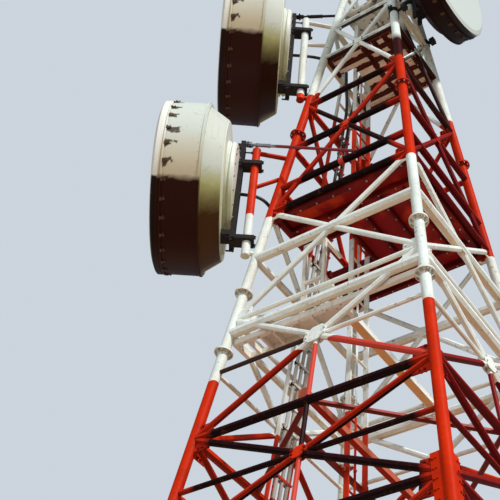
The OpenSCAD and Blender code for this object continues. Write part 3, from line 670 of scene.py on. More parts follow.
def drum_paint(name, k, colour, olive, dark, smudge, half_way, night, ragged=0.012, part="shroud"):
    """light on top, olive below and nearly black underneath as painted shade, with smudges behind the clips
    """
    mat = painted(name, red=colour, banded=False, chips=0.2, runs=0.4, dirt=0.0, rough=0.42, fade=0.07,
                  edge=0.004, bump=0.05, sheen=0.15)
    before, where = opened(mat)
    mapping = node_among("ShaderNodeMapping", where)
    mapping.vector_type = "TEXTURE"
    feed(mapping.inputs["Vector"], where)
    feed(mapping.inputs["Location"], drum_place(k).translation)
    feed(mapping.inputs["Rotation"], (0, 0, AIM[k]))
    own = mapping.outputs[0]
    axes = axes_of(own)
    y, z, back = axes["Y"], axes["Z"], times(axes["X"], -1.0)
    blotch = noise(own, 8.0, 6, 0.65)

    # a smudge behind each clip, skewed a little from its place
    skew = remap(noise(own, 5.0, 3, 0.5), 0.3, 0.7, -1.4, 1.4)
    turns = math_node("MULTIPLY_ADD", math_node("ARCTAN2", z, y), CLIPS, math.pi)
    beat = math_node("COSINE", plus(turns, skew))
    reach = remap(blotch, 0.34, 0.62, 0.06, 0.28)
    near = math_node("SUBTRACT", reach, minus(back, RADOME_T), clamp=True)
    dark_mark = times(remap(near, 0.0, 0.05), remap(beat, 0.25, 0.6), remap(back, 0.128, 0.142), smudge)

    # how far round the drum a place is: 1 at the top, -1 at the bottom
    out = math_node("SQRT", plus(math_node("POWER", y, 2), math_node("POWER", z, 2)))
    round_it = plus(math_node("DIVIDE", z, most(out, 0.05)), remap(blotch, 0.3, 0.7, -ragged, ragged))
    # the olive and the black bands are painted shade
    olive_shade, black = remap(round_it, *half_way), remap(round_it, *night)

    if part == "rear":
        rim = RADOME_T + SHROUD[k] + CONE[k]
        flat = is_over(back, rim - 0.012)
        outer = minus(1.0, flat)
        before = mix_colour(outer, before, mix_colour(1.0, before, (0.80, 0.82, 0.80), "MULTIPLY"))
        # an olive crescent of painted shadow just outside the hub, and painted shade low on the flat back
        shade = times(remap(out, 0.73, 0.64), is_under(back, rim + 0.006))
        shade = times(shade, remap(round_it, 0.35, -0.05, 0.0, 0.75))
        shade = most(shade, remap(round_it, -0.40, -0.80, 0.0, 0.6))
        olive_shade, black = most(times(olive_shade, outer), times(shade, flat)), times(black, outer)
    elif part == "radome":
        black = times(black, is_over(out, DRUM_R - 0.035))
    else:
        before = mix_colour(remap(back, 0.132, 0.126), before, (0.88, 0.89, 0.84))
    toned = mix_colour(olive_shade, before, mix_colour(0.25, olive, before))
    toned = mix_colour(dark_mark, toned, (0.045, 0.030, 0.018))
    return overlaid(mat, black, toned, dark)


# NIGHT and rear_dark are the near black of painted shade under the drums
NIGHT = (0.012, 0.004, 0.003)
CREAM, CREAM_LOW = (0.72, 0.68, 0.52), (0.40, 0.30, 0.15)
drum_skin, drum_rear, drum_front = {}, {}, {}
for k, rear_dark in ((1, (0.080, 0.028, 0.003)), (2, (0.030, 0.008, 0.002))):
    drum_skin[k] = drum_paint(f"drum{k}_cream", k, (0.68, 0.74, 0.68), (0.66, 0.54, 0.34),
                              (0.030, 0.0028, 0.0010), 0.9, (-0.10, -0.55), (-0.617, -0.667))
    drum_rear[k] = drum_paint(f"drum{k}_rear", k, (0.84, 0.89, 0.82), (0.40, 0.38, 0.055),
                              rear_dark, 0.0, (-0.48, -0.68), (-0.67, -0.90), 0.02, "rear")
    drum_front[k] = drum_paint(f"radome{k}_dull", k, (0.88, 0.89, 0.84), (0.5, 0.45, 0.3),
                               (0.014, 0.003, 0.002), 0.0, (-0.9, -1.0), (-0.627, -0.647), 0.01, "radome")
drum_skin[3] = drum_paint("drum3_cream", 3, CREAM, CREAM_LOW, NIGHT, 0.0, (0.5, 0.3), (0.35, 0.2))
drum_rear[3] = drum_paint("drum3_rear", 3, CREAM, CREAM_LOW, NIGHT, 0.0, (0.5, 0.3), (0.4, 0.2))
# the third radome's underside turns near black, painted shade
drum_front[3] = painted("radome_third", red=(0.76, 0.86, 0.83), banded=False, chips=0.1, runs=0.3,
                        dirt=1.0, rough=0.35, fade=0.05, bump=0.04, soot_and_shade=NIGHT, start=-0.40, full=-0.55,
                        ragged=0.03)
print("drum finishes:", [m.name for kind in (drum_skin, drum_rear, drum_front) for m in kind.values()])

# %% [markdown]
# ## Paint on the CAD nodes
# The CAD solids keep their shapes, and only the material in each one's slot changes. A table from name to
# finish shows at a glance what is painted how, and rules over the names add the legs, the bracing and the
# drums.

# %% Give the CAD nodes their finishes
FINISH = {"base_plates": steel_base, "landing_deck": deck_white, "hatch_guard": deck_white,
          "middle_deck": deck_red, "middle_deck_frame": deck_beam, "middle_deck_joists": deck_beam,
          "upper_deck": deck_cream, "upper_deck_frame": joist_brown, "top_deck": deck_mottled,
          "ladder_low": ladder_paint, "ladder_high": ladder_paint, "cable_ladder": ladder_paint,
          "feeder_cables": cable_black}
for name in cad:
    if name.startswith("leg_"):
        FINISH[name] = leg_painted_shadow if name == "leg_front_right" else leg_paint
    elif name.startswith("bracing_"):
        FINISH[name] = brace_front if "front" in name else brace_right if "right" in name else brace_paint
    elif name.startswith("plan_"):
        FINISH[name] = plan_paint
for k, strut in ((1, strut_painted), (2, bracket_dark), (3, strut_steel)):
    for part, mat in (("radome", drum_front[k]), ("shroud", drum_skin[k]), ("reflector", drum_rear[k]),
                      ("bracket", bracket_dark), ("mount", mount_paint), ("strut", strut)):
        FINISH[f"drum{k}_{part}"] = mat
for name, node in cad.items():
    node.data.materials.clear()
    node.data.materials.append(FINISH[name])
print("finished nodes:", len(FINISH))

# %% [markdown]
# ## Bolts
# Hundreds of bolts hold the tower. A bolt is a six-sided head, a washer and the end of its thread, each
# one cone shape of few sides. An object for every bolt would swamp the scene, so all bolts of one kind
# are added to one mesh, each at its own place.


# %% Mesh helpers
def cone(bm, place, sides, r1, r2, depth):
    """a cylinder or cone that starts at the place's origin and goes along its z"""
    bmesh.ops.create_cone(bm, cap_ends=True, segments=sides, radius1=r1, radius2=r2, depth=depth,
                          matrix=place @ shift(0, 0, depth / 2))


def rod(bm, place, sides, r, depth):
    cone(bm, place, sides, r, r, depth)


def slab(bm, place, sx, sy, sz):
    bmesh.ops.create_cube(bm, size=1, matrix=place @ Matrix.Diagonal((sx, sy, sz, 1)))


def plate(target, place, sx, sy, sz, edge, segments=1):
    """a slab with bevelled edges, built on its own and added to a bigger mesh"""
    bm = bmesh.new()
    slab(bm, place, sx, sy, sz)
    bmesh.ops.bevel(bm, geom=bm.edges, offset=edge, segments=segments, profile=0.5, affect="EDGES",
                    material=-1)
    part = bpy.data.meshes.new("part")
    bm.to_mesh(part)
    bm.free()
    target.from_mesh(part)
    bpy.data.meshes.remove(part)


def bolt(bm, place, across, grip=0.0):
    """head above the place's plane; with a grip, a nut and the thread's end on the other side too"""
    r = across / math.sqrt(3)
    rod(bm, place, 12, r * 1.12, across * 0.1)
    cone(bm, place @ shift(0, 0, across * 0.1), 6, r, r * 0.97, across * 0.55)
    if grip:
        other = place @ shift(0, 0, -grip) @ turned("X", 180)
        rod(bm, other, 12, r * 1.12, across * 0.1)
        cone(bm, other @ shift(0, 0, across * 0.1), 6, r, r * 0.97, across * 0.6)
        cone(bm, other @ shift(0, 0, across * 0.6), 8, r * 0.52, r * 0.48, across * 0.4)


def finish_piece(name, bm, material, smooth=False):
    bmesh.ops.recalc_face_normals(bm, faces=bm.faces)
    mesh = bpy.data.meshes.new(name)
    bm.to_mesh(mesh)
    bm.free()
    for poly in mesh.polygons:
        poly.use_smooth = smooth
    mesh.materials.append(material)
    obj = bpy.data.objects.new(name, mesh)
    scene.collection.objects.link(obj)
    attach(obj, "root")
    print(name, len(mesh.polygons), "faces")
    return obj


# %% [markdown]
# ## Leg flanges
# Where two lengths of leg meet, two flanges are bolted together. Eight bolts sit in a ring, and thin fins
# stiffen the flange against the tube. A fin is one five-sided face, extruded to its thickness.

# %% Flange bolts and fins
FLANGES = (JOINTS[2] - 0.47, JOINTS[5] - 0.47, JOINTS[5] + 0.43, JOINTS[7] - 0.64)
FLANGE_T, RING_R, RING_BOLTS = 0.026, 0.084, 8
FIN_T = 0.006
FIN = ((0.054, 0.013), (0.098, 0.013), (0.098, 0.020), (0.062, 0.060), (0.054, 0.060))
bolts, fins = bmesh.new(), bmesh.new()
for corner in CORNERS:
    for z in FLANGES:
        here = leg_place(corner, z)
        for n in range(RING_BOLTS):
            bolt(bolts, here @ turned("Z", 45 * n) @ shift(RING_R, 0, FLANGE_T / 2), 0.022, grip=FLANGE_T)
            for up_down in (1, -1):
                place = here @ turned("Z", 45 * (n + 0.5)) @ Matrix.Diagonal((1, 1, up_down, 1))
                flat = fins.faces.new([fins.verts.new(place @ Vector((r, -FIN_T / 2, h))) for r, h in FIN])
                grown = bmesh.ops.extrude_face_region(fins, geom=[flat])["geom"]
                bmesh.ops.translate(fins, vec=place.to_3x3() @ Vector((0, FIN_T, 0)),
                                    verts=[g for g in grown if isinstance(g, bmesh.types.BMVert)])
finish_piece("leg_flange_bolts", bolts, bolt_zinc)
finish_piece("leg_flange_fins", fins, leg_paint)

# %% [markdown]
# ## Bracing joints
# The bars end on plates welded to the legs. Bolts go where no bar covers the plate, so each face's bars
# are listed first, and a place is skipped when a bar runs over it.

# %% Bars of one face
HB, DB, TB, BEAM = 0.092, 0.084, 0.050, 0.118
BAR2 = JOINTS[5] - 0.2


def d_bar(p):
    return DB * (1 - 0.04 * p)


def h_bar(p):
    return HB * (1 - 0.03 * p)


def spot(side, z):
    """a place on a leg's line, as seen on the face"""
    return Vector((side * half(z), slope(z)))


# one value for each panel, from the lowest up: its mid-height bar, the bar at its top, its joint plates
MID = (TB + 0.014, TB + 0.010, TB + 0.006, TB + 0.010, TB, BEAM, h_bar(3), h_bar(5), TB)
TOPS = (h_bar(0), h_bar(1), h_bar(1), h_bar(0), TB + 0.008, h_bar(3), h_bar(4), h_bar(2), h_bar(6))
PLATES = (0.27, 0.27, 0.27, 0.23, 0.22, 0.20, 0.17, 0.13, 0.11)
PANELS = list(zip(JOINTS, JOINTS[1:]))
level_bars = [(BAR2, BEAM), (KNEE_Z, 0.090)]
face_bars = []
for p, (low, high) in enumerate(PANELS):
    level_bars += [(cross_height(low, high), MID[p]), (high, TOPS[p])]
    face_bars += [(spot(m, low), spot(-m, high), d_bar(p)) for m in (-1, 1)]
face_bars += [(spot(-1, z), spot(1, z), d) for z, d in level_bars]
print("bars of one face:", len(face_bars))


def uncovered(u, v, room):
    """whether a bolt at u, v would stand clear of every bar and leg"""
    here = Vector((u, v))
    if abs(u) > half(v * math.cos(LEAN)) - LEG_R - room:
        return False
    for a, b, d in face_bars:
        t = max(0.0, min(1.0, (here - a).dot(b - a) / (b - a).length_squared))
        if (here - (a + (b - a) * t)).length < d / 2 + room:
            return False
    return True


# %% [markdown]
# Every joint plate has the same grid of bolt places, as shares of the plate's size, and its nuts show on
# the other side. Where two diagonals cross, an eight-sided plate on each side clasps them with four
# bolts.

# %% Joint bolts and crossing plates
PLATE_T, CROSS_T = 0.014, 0.010
BOLT_U, BOLT_V = (0.22, 0.42, 0.62, 0.84), (-0.64, -0.38, -0.13, 0.13, 0.38, 0.64)
joint_bolts, cross_plates = bmesh.new(), bmesh.new()
count = 0
for i in range(4):
    face = face_place(i)
    for p, (low, high) in enumerate(PANELS):
        size = 0.024 if p < 5 else 0.019
        for u, v in [(m * (half(high) - PLATES[p] * u), slope(high) + PLATES[p] * v)
                     for m in (-1, 1) for u in BOLT_U for v in BOLT_V]:
            if uncovered(u, v, size * 0.62):
                bolt(joint_bolts, face @ shift(u, v, PLATE_T / 2), size, grip=PLATE_T)
                count += 1
        w = 0.13 if p == 4 else 0.085
        for side in (1, -1):
            middle = face @ shift(0, slope(cross_height(low, high)), side * (d_bar(p) / 2 - 0.004))
            oval = middle @ turned("Z", 22.5) @ Matrix.Diagonal((1.15, 0.8, 1, 1))
            rod(cross_plates, oval @ shift(0, 0, -CROSS_T / 2), 8, w, CROSS_T)
            outwards = turned("X", 90 - 90 * side)
            for u, v in ((0.82, 0.26), (0.82, -0.26), (-0.82, 0.26), (-0.82, -0.26)):
                bolt(joint_bolts, middle @ shift(u * w, v * w, side * CROSS_T / 2) @ outwards, size)
finish_piece("bracing_joint_bolts", joint_bolts, brace_right)
finish_piece("bracing_cross_plates", cross_plates, brace_paint)
print("joint bolts:", count)

# %% [markdown]
# ## Leg splices
# The photo's nearest leg has long doubling plates with rows of bolts around its third joint. Each is a
# bevelled slab beside the leg, standing out in the plane of each face.

# %% Splice plates
SPLICE_Z, SPLICE_L, SPLICE_PITCH = 6.75, 0.80, 0.11
splices, splice_bolts = bmesh.new(), bmesh.new()
for corner, (sx, sy) in CORNERS.items():
    for angle in (0, 90):
        place = leg_place(corner, SPLICE_Z) @ turned("Z", angle)
        inward = -1 if (place.to_3x3() @ Vector((1, 0, 0))).dot(Vector((sx, sy, 0))) > 0 else 1
        for off in (-1, 1):
            plate(splices, place @ shift(inward * 0.082, off * 0.036, 0), 0.11, 0.010, SPLICE_L, 0.003)
            for n in range(-3, 4):
                for x in (0.120, 0.088):
                    bolt(splice_bolts, place @ shift(inward * x, off * 0.041, SPLICE_PITCH * n)
                         @ turned("X", -90 * off), 0.018)
finish_piece("leg_splice_plates", splices, leg_paint)
finish_piece("leg_splice_bolts", splice_bolts, leg_paint)

# %% [markdown]
# ## Drum rims
# The radome is a skin stretched over the front. Spring clips hook it to the shroud all the way round, and
# a thin steel band covers its edge. A plain hoop would have sharp edges, so the band is a small profile
# with its corners cut off, turned about the drum's axis with a spin.


# %% Rings by spinning a profile
def ring(bm, place, profile, steps=96):
    """profile: (distance behind the front, radius) pairs, spun about the drum's x axis"""
    verts = [bm.verts.new(place @ Vector((-a, 0, r))) for a, r in profile]
    lines = [bm.edges.new((verts[n], verts[(n + 1) % len(verts)])) for n in range(len(verts))]
    axis = place.to_3x3() @ Vector((1, 0, 0))
    bmesh.ops.spin(bm, geom=verts + lines, cent=place.translation, axis=axis, angle=math.tau, steps=steps,
                   use_merge=True)


def radial(place, degrees, back, r):
    """a place on the drum's side: z outwards, x along the axis towards the back"""
    return place @ turned("X", degrees) @ shift(-back, 0, r) @ turned("Z", 180)


# %% Clips, bands and rivets
RIVETS = 56
BAND = ((-0.012, 0.004), (-0.012, 0.013), (-0.006, 0.016), (0.006, 0.016), (0.012, 0.013), (0.012, 0.004))
for k in DRUMS:
    place = drum_place(k)
    clips, trim, rivets = bmesh.new(), bmesh.new(), bmesh.new()
    for n in range(CLIPS):
        at = radial(place, 360 * n / CLIPS, 0, DRUM_R)
        slab(clips, at @ shift(0.160, 0, 0.005), 0.060, 0.030, 0.010)
        slab(clips, at @ shift(0.138, 0, 0.012), 0.020, 0.046, 0.014)
        slab(clips, at @ shift(0.172, 0.018, 0.008), 0.010, 0.040, 0.010)
        cone(clips, at @ shift(0.176, 0, 0.008), 8, 0.010, 0.008, 0.010)
    for n in range(RIVETS):
        at = radial(place, 360 * (n + 0.5) / RIVETS, RADOME_T + SHROUD[k] - 0.045, DRUM_R - 0.001)
        cone(rivets, at, 8, 0.008, 0.006, 0.004)
    ring(trim, place, [(RADOME_T + 0.045 + a, DRUM_R + r) for a, r in BAND])
    finish_piece(f"drum{k}_clips", clips, clip_rust)
    finish_piece(f"drum{k}_rim_band", trim, drum_skin[k], smooth=True)
    finish_piece(f"drum{k}_rivets", rivets, drum_skin[k])

# %% [markdown]
# ## Drum backs
# Behind the reflector sit the hub's bolts, the cable's flange, threaded rods that set the aim, and the
# long bolts that squeeze the two clamps onto the pipe. On the side drums, a ball joint and a thin stay
# reach the pipe higher up.

# %% Back fittings
CLAMPS = by_drum((0.37, -0.88), (0.444, -0.463))
FEED_AT = by_drum((-0.03, 0.0), (-0.12, -0.10))
HUB_BOLTS, HUB_RING = 20, 0.555
backwards, forwards, over = turned("Y", -90), turned("Y", 90), turned("X", 180)
for k in DRUMS:
    place, back = drum_place(k), DEPTH[k]
    hub, clamp = bmesh.new(), bmesh.new()
    for n in range(HUB_BOLTS):
        here = place @ turned("X", 360 * (n + 0.5) / HUB_BOLTS)
        bolt(hub, here @ shift(-back, 0, HUB_RING) @ backwards, 0.024)
    feed_end = place @ shift(-back, *FEED_AT[k]) @ backwards
    cone(hub, feed_end, 24, 0.062, 0.060, 0.016)
    cone(hub, feed_end @ shift(0, 0, 0.016), 24, 0.034, 0.030, 0.040)
    for n in range(6):
        bolt(hub, feed_end @ turned("Z", 60 * n) @ shift(0.048, 0, 0.016), 0.012)
    finish_piece(f"drum{k}_hub_bolts", hub, bolt_zinc)

    px, py = -PIPE_BACK[k], -PIPE_SIDE[k]
    for z in [share * DRUM_R + 0.03 for share in CLAMPS[k]]:
        for side in (-1, 1):
            for dz in (-0.016, 0.016):
                at = place @ shift(px - PIPE_R - 0.060, py + side * (PIPE_R + 0.018), z + dz) @ forwards
                rod(clamp, at, 8, 0.008, 0.10)
                bolt(clamp, at @ shift(0, 0, 0.022) @ over, 0.020)
            at = place @ shift(-back - 0.055, side * 0.118, z) @ forwards
            rod(clamp, at, 10, 0.011, 0.10)
            bolt(clamp, at @ shift(0, 0, 0.020) @ over, 0.026)
    if k < 3:
        ball = place @ shift(-1.06, 0.03, 0.50 if k == 1 else 0.45)
        bmesh.ops.create_uvsphere(clamp, u_segments=18, v_segments=10, radius=0.046, matrix=ball)
        rod(clamp, ball @ forwards @ shift(0, 0, -0.02), 12, 0.018, 0.11)
        stay = place @ shift(px, py, 0.69) @ forwards @ shift(0, 0, PIPE_R * 0.9)
        rod(clamp, stay, 10, 0.010, PIPE_BACK[k] - RADOME_T - SHROUD[k] - CONE[k] - PIPE_R)
        rod(clamp, stay, 12, 0.020, 0.020)
    finish_piece(f"drum{k}_clamp_bolts", clamp, bracket_dark)

# %% [markdown]
# ## Cables
# Three cables come from the drums, meet on the cable ladder and go down it. Each is a tube along the same
# corners as in the CAD solid, rounded off, and the three take that solid's place. A Blender curve with a
# bevel would look the same. Rings of points, bridged one to the next, make a plain mesh from the start.

# %% Cable routes
FEEDER_D, TRAY_HALF = 0.044, 0.018
# an eight-sided bar's flat side is this share of its radius from the middle
FLAT = math.cos(math.pi / 8)
FEEDER_N = -HB / 2 * FLAT - TRAY_HALF - TRAY_HALF * FLAT - FEEDER_D / 2 - 0.0002
GAP_Z = (math.ceil(DECK_Z / RUNG_STEP) + 0.5) * RUNG_STEP
FEEDER_LOW = 0.52


def on_tray(u, z):
    return Vector((-half(z) - FEEDER_N * math.cos(LEAN), -u, z + FEEDER_N * math.sin(LEAN)))


def from_drum(k, back, z):
    """the cable's first two corners: its flange, and a point behind it"""
    return [drum_place(k) @ Vector(p) for p in ((-DEPTH[k], -0.03, 0), (-DEPTH[k] - back, -0.04, z))]


knee, deck, pipe3 = -half(KNEE_Z), -half(DECK_Z), PIPE_XY[3][0]
# where each cable reaches the ladder, by its place across it
TRAY_TOPS = {0.1: KNEE_Z - 0.24, 0.0: DECK_Z - 0.53, -0.1: DECK_Z - 0.63}
routes = [
    (0.1, from_drum(1, 0.332, -0.02) + [
        (knee - 0.19, -0.62, KNEE_Z - 0.165), (knee + 0.04, -0.43, KNEE_Z - 0.19),
        (knee + 0.12, -0.26, KNEE_Z - 0.21)]),
    (0.0, from_drum(2, 0.292, 0.02) + [
        (deck - 0.12, -0.42, DECK_Z + 0.29), (-LADDER_X - 0.15, -0.19, DECK_Z + 0.15),
        (-LADDER_X - 0.16, -0.17, DECK_Z - 0.13)]),
    (-0.1, [
        (pipe3 + PIPE_BACK[3] - DEPTH[3], -0.32, DRUM_Z[3] - 0.1), (pipe3 + 0.06, -0.32, DRUM_Z[3] - 0.12),
        (pipe3 - 0.07, -0.31, JOINTS[8] + 0.21), (pipe3 - 0.19, -0.25, JOINTS[8] + 0.17),
        (pipe3 - 0.37, -0.05, JOINTS[8] + 0.08), (-LADDER_X + 0.08, 0.08, GAP_Z + 0.03),
        (-LADDER_X - 0.12, 0.115, GAP_Z - 0.04), (-LADDER_X - 0.16, 0.12, DECK_Z - 0.13)]),
]


def eased(points, steps=6):
    """the same corners, each turned into a short curve"""
    path = [points[0]]
    for a, b, c in zip(points, points[1:], points[2:]):
        start, end = (b + (q - b) * min(0.45, 3.4 * FEEDER_D / (q - b).length) for q in (a, c))
        for t in [n / steps for n in range(steps + 1)]:
            path.append(start * (1 - t) ** 2 + b * 2 * t * (1 - t) + end * t * t)
    return path + [points[-1]]


def tube(name, path, d, material, sides=12):
    """a round profile carried along the path; each ring of points is bridged to the next"""
    bm = bmesh.new()
    frame_up = Vector((0.3, 0.2, 1)).normalized()
    rings = []
    for n, p in enumerate(path):
        ahead = (path[min(n + 1, len(path) - 1)] - path[max(n - 1, 0)]).normalized()
        side = frame_up.cross(ahead).normalized()
        frame_up = ahead.cross(side).normalized()
        verts = [bm.verts.new(p + (side * math.cos(t) + frame_up * math.sin(t)) * d / 2)
                 for t in (math.tau * q / sides for q in range(sides))]
        rings.append([bm.edges.new((verts[q], verts[(q + 1) % sides])) for q in range(sides)])
    for a, b in zip(rings, rings[1:]):
        bmesh.ops.bridge_loops(bm, edges=a + b)
    for end in (rings[0], rings[-1]):
        bmesh.ops.contextual_create(bm, geom=end)
    return finish_piece(name, bm, material, smooth=True)


for n, (u, corners) in enumerate(routes, 1):
    points = [Vector(c) for c in corners] + [on_tray(u, TRAY_TOPS[u]), on_tray(u, FEEDER_LOW)]
    piece = tube(f"feeder_{n}", eased(points), FEEDER_D, cable_black)
    if n == 1:
        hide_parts("feeder_cables")

# %% [markdown]
# Each cable is held by a small block every 0.3 m, black on the first cable and steel grey on the others,
# and a painted strap ties the blocks of one height together. Only the cables that reach that height are
# held.

# %% Cable cleats
CLEAT_LOW, CLEAT_STEP = 0.8, 0.3
cleats, pale_cleats, straps, cleat_bolts = (bmesh.new() for _ in range(4))
left = face_place(3)
for n in range(math.ceil((DECK_Z - 0.6 - CLEAT_LOW) / CLEAT_STEP)):
    z = CLEAT_LOW + CLEAT_STEP * n
    held = [u for u, top in TRAY_TOPS.items() if z < top - 0.1]
    if held:
        lo, hi = min(held) - 0.045, max(held) + 0.045
        slab(straps, left @ shift((lo + hi) / 2, slope(z), FEEDER_N - 0.026), hi - lo, 0.030, 0.008)
        for u in held:
            plate(cleats if u > 0.05 else pale_cleats, left @ shift(u, slope(z), FEEDER_N),
                  0.054, 0.050, 0.048, 0.006, 2)
        for u in (lo + 0.012, hi - 0.012):
            bolt(cleat_bolts, left @ shift(u, slope(z), FEEDER_N - 0.031) @ turned("X", 180), 0.016)
finish_piece("cable_cleats", cleats, clamp_black)
finish_piece("cable_cleats_pale", pale_cleats, strut_steel)
finish_piece("cable_straps", straps, ladder_paint)
finish_piece("cable_cleat_bolts", cleat_bolts, bolt_zinc)

# %% [markdown]
# ## Ladder fittings
# A flat safety rail runs up the rungs a third of the way across, where the photo shows a third upright
# line. It is clipped to every fourth rung. Where the ladder passes the plan bracing of the four lowest
# levels, cleats bolt its rails to the tie behind.

# %% Safety rail and ladder cleats
RAIL_Y, RAIL_LOW, RAIL_TOP = -0.049, 0.3, TOP_Z - 0.1
rail, clips, ladder_bolts = bmesh.new(), bmesh.new(), bmesh.new()
for x, sx, sy in ((0.0185, 0.007, 0.040), (0.0240, 0.006, 0.010)):
    slab(rail, shift(-LADDER_X + x, RAIL_Y, (RAIL_LOW + RAIL_TOP) / 2), sx, sy, RAIL_TOP - RAIL_LOW)
for rung in range(4, 53, 4):
    for side in (-1, 1):
        at = shift(-LADDER_X, RAIL_Y + side * 0.032, RUNG_STEP * rung)
        slab(clips, at, 0.036, 0.012, 0.034)
        bolt(clips, at @ shift(0.018, 0, 0) @ turned("Y", 90), 0.010)
for level in JOINTS[1:5]:
    for side in (-1, 1):
        slab(clips, shift(-LADDER_X - 0.012, side * 0.205, level + 0.004), 0.066, 0.028, 0.046)
        for dz in (-0.012, 0.016):
            at = shift(-LADDER_X + 0.004, side * 0.219, level + dz)
            bolt(ladder_bolts, at @ turned("X", -90 * side), 0.013)
finish_piece("ladder_safety_rail", rail, ladder_paint)
finish_piece("ladder_clips", clips, ladder_paint)
finish_piece("ladder_cleat_bolts", ladder_bolts, bolt_zinc)

# %% [markdown]
# ## Caps and lugs
# Tubes left open would fill with rain, so every leg and pipe wears a cap: a short disc with a low dome on
# it. A lug on top of each side drum is where a crane's hook went.


# %% Caps
def cap(bm, place, r, h):
    rod(bm, place, 32, r, h)
    cone(bm, place @ shift(0, 0, h), 32, r * 0.98, r * 0.55, h * 0.8)
    cone(bm, place @ shift(0, 0, h * 1.8), 24, r * 0.55, r * 0.20, h * 0.35)


caps, lugs = bmesh.new(), bmesh.new()
for sx, sy in CORNERS.values():
    cap(caps, shift(sx * half(HEIGHT), sy * half(HEIGHT), HEIGHT), LEG_R + 0.005, 0.010)
for k in DRUMS:
    cap(caps, shift(*PIPE_XY[k], PIPE_TOP[k]), PIPE_R + 0.003, 0.006)
    cap(caps, shift(*PIPE_XY[k], PIPE_LOW[k]) @ turned("X", 180), PIPE_R + 0.003, 0.006)
finish_piece("tube_caps", caps, mount_paint)

for k in (1, 2):
    at = radial(drum_place(k), math.degrees(0.10), RADOME_T + SHROUD[k] - 0.03, DRUM_R + 0.004)
    plate(lugs, at @ shift(0, 0, 0.004), 0.13, 0.07, 0.010, 0.004)
    plate(lugs, at @ shift(0, 0, 0.040), 0.080, 0.012, 0.070, 0.004)
    for x in (-0.048, 0.048):
        for y in (-0.020, 0.020):
            bolt(lugs, at @ shift(x, y, 0.009), 0.016)
finish_piece("drum_lugs", lugs, bracket_dark)

# %% [markdown]
# ## Tie beams
# Just above the landing, a slim box beam ties the middle of the front face to the middle of the back
# face. It lies between the big horizontals, and an end plate with four bolts holds each end to them.
# Its underside is a brownish tan, painted shade. A second, narrower one crosses one level lower, just above
# the plan bracing and a little to the ladder's side, in the red band. Its underside is a deep red, painted
# shade.


# %% Tie beams
def tie_beam(name, mat, x, z, w, h, reach, drop):
    """a box beam along Y with a bolted plate at each end, set lower than the beam by the drop"""
    bm = bmesh.new()
    plate(bm, shift(x, 0, z), w, 2 * reach - 0.020, h, 0.008, 3)
    for side in (-1, 1):
        plate(bm, shift(x, side * (reach - 0.005), z - drop), w + 0.060, 0.012, 0.250, 0.003)
        for u in (-1, 1):
            for v in (-0.095, 0.095):
                at = shift(x + u * (w / 2 + 0.016), side * (reach - 0.011), z - drop + v)
                bolt(bm, at @ turned("X", 90 * side), 0.020)
    finish_piece(name, bm, mat)


# the tan under the white beam and the deep red under the red one are painted shade
tie_paint = painted("tie_paint", white=(0.86, 0.90, 0.88), tan=(0.86, 0.46, 0.19), chips=0.5, runs=0.5,
                    dirt=0.6, sheen=0.1, bright=True)
tie_red = painted("tie_red", red=(0.62, 0.17, 0.10), soot_and_shade=(0.36, 0.012, 0.002), banded=False, chips=0.4,
                  runs=0.4, dirt=0.95, sheen=0.1)
bar_in = h_bar(0) / 2 * FLAT / math.cos(LEAN)
tie_beam("tie_beam", tie_paint, 0, JOINTS[5] - 0.033, 0.106, 0.086, half(BAR2) - BEAM / 2 - 0.001, 0.050)
tie_beam("tie_beam_low", tie_red, -0.084, JOINTS[4] + 0.168, 0.068, 0.088,
         half(JOINTS[4]) - bar_in - 0.001, 0.085)

# %% [markdown]
# ## Clamps on the legs
# The photo shows black clamps low beside the third drum, one on the front leg and one on the leg behind
# it. Each is a split collar with two ears, bolted together, and a short arm with a block at its end.


# %% Leg clamps
def leg_clamp(bm, corner, z, reach):
    here = leg_place(corner, z)
    rod(bm, here @ shift(0, 0, -0.045), 24, LEG_R + 0.016, 0.090)
    for side in (-1, 1):
        for gap in (-0.012, 0.012):
            slab(bm, here @ shift(gap, side * (LEG_R + 0.034), 0), 0.012, 0.050, 0.080)
        for dz in (-0.022, 0.022):
            bolt(bm, here @ shift(0.018, side * (LEG_R + 0.040), dz) @ turned("Y", 90), 0.020, grip=0.036)
    plate(bm, here @ shift(LEG_R + reach / 2, 0, -0.010), reach, 0.034, 0.050, 0.008, 2)
    plate(bm, here @ shift(LEG_R + reach, 0, -0.018), 0.080, 0.090, 0.095, 0.008, 2)


grips = bmesh.new()
leg_clamp(grips, "front_right", 15.47, 0.110)
leg_clamp(grips, "back_right", 15.97, 0.070)
finish_piece("leg_clamps", grips, bracket_dark)

# %% [markdown]
# ## Struts
# A strut holds each drum against the wind and sets its aim. Near the drum it has a six-sided turnbuckle
# between two lock nuts, and that end is gripped by a fork of two plates with a bolt through it.


# %% Strut fittings
STRUT_R, STRUT_RISE = 0.020, 0.8546


def strut_fittings(bm, p, q, r):
    along = (q - p).normalized()
    here = Matrix.Translation(p) @ Vector((0, 0, 1)).rotation_difference(along).to_matrix().to_4x4()
    rod(bm, here @ shift(0, 0, 0.20), 6, r * 1.35, 0.17)
    for z in (0.168, 0.376):
        rod(bm, here @ shift(0, 0, z), 6, r * 1.5, 0.020)
    for side in (-1, 1):
        plate(bm, here @ shift(0, side * (r + 0.006), 0.045), 0.052, 0.010, 0.130, 0.003)
    bolt(bm, here @ shift(0, r + 0.011, 0.050) @ turned("X", -90), 0.024, grip=2 * (r + 0.011))


def strut_end(k):
    """where the strut leaves the drum's mount"""
    x, y = PIPE_XY[k]
    if k == 3:
        return Vector((x + 0.08, y, DRUM_Z[k] + STRUT_RISE * DRUM_R))
    reach = Matrix.Rotation(AIM[k], 3, "Z") @ Vector((0.150, PIPE_SIDE[k], 0))
    return Vector((x, y, DRUM_Z[k] + STRUT_RISE * DRUM_R)) + reach


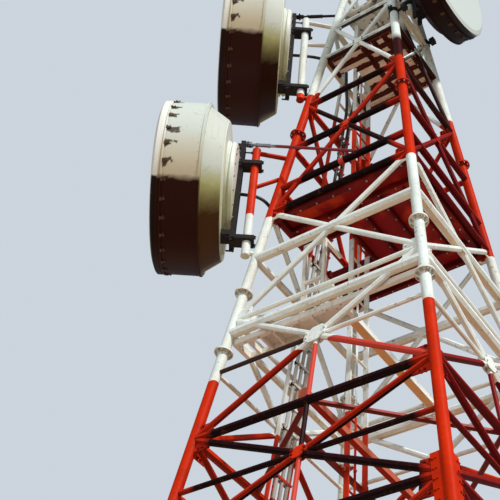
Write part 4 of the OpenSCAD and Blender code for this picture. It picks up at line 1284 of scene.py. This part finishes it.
low_z, top_z = TOP_Z - 0.05, HEIGHT - 0.17
STRUT_TO = {1: (LADDER_X, -half(KNEE_Z), KNEE_Z), 2: (-half(low_z), -half(low_z), low_z),
            3: (half(top_z), half(top_z), top_z)}
for k in DRUMS:
    fittings = bmesh.new()
    strut_fittings(fittings, strut_end(k), Vector(STRUT_TO[k]), STRUT_R)
    steel = bracket_dark if k == 2 else strut_steel
    finish_piece(f"drum{k}_strut_fittings", fittings, steel)

# %% [markdown]
# ## Deck fastenings
# Seen from below, the decks show rows of bolts along their frames and joists. A row is given by its two
# ends and a rough step, and its bolts share the length evenly.

# %% Deck bolts
deck_bolts = bmesh.new()


def inside(z, d):
    return half(z) - d / 2 * FLAT / math.cos(LEAN) - 0.001


def bolt_row(x0, y0, x1, y1, z, step, size):
    count = max(1, round(math.hypot(x1 - x0, y1 - y0) / step))
    for t in [n / count for n in range(count + 1)]:
        bolt(deck_bolts, shift(x0 + (x1 - x0) * t, y0 + (y1 - y0) * t, z) @ turned("X", 180), size)


# middle deck
h = inside(JOINTS[6], h_bar(3))
under = JOINTS[6] - 0.008 - 0.090
for m in (-1, 1):
    bolt_row(-h + 0.12, m * (h - 0.025), h - 0.12, m * (h - 0.025), under, 0.22, 0.018)
    bolt_row(-h + 0.12, m * (h * 0.66 + 0.015), h - 0.12, m * (h * 0.66 + 0.015), under, 0.22, 0.014)
bolt_row(h - 0.025, -h + 0.12, h - 0.025, h - 0.12, under, 0.22, 0.018)
hatch = -LADDER_X + 0.03
for q in (1, 2, 3):
    x = hatch + (h - hatch) * q / 4
    bolt_row(x, -h * 0.6, x, h * 0.6, under, 0.2, 0.014)

# upper deck
h = inside(DECK_Z, h_bar(5))
for m in (-1, 1):
    bolt_row(-h + 0.08, m * (h - 0.02), h - 0.08, m * (h - 0.02), DECK_Z - 0.068, 0.16, 0.014)
bolt_row(h - 0.02, -h + 0.08, h - 0.02, h - 0.08, DECK_Z - 0.068, 0.16, 0.014)

# landing
landing = JOINTS[5] - 0.27
h = half(landing) - 0.036
for y in (-h + 0.025, -h + 0.295):
    bolt_row(-h + 0.16, y, 0.2, y, landing - 0.078, 0.18, 0.014)
finish_piece("deck_bolts", deck_bolts, bolt_zinc)
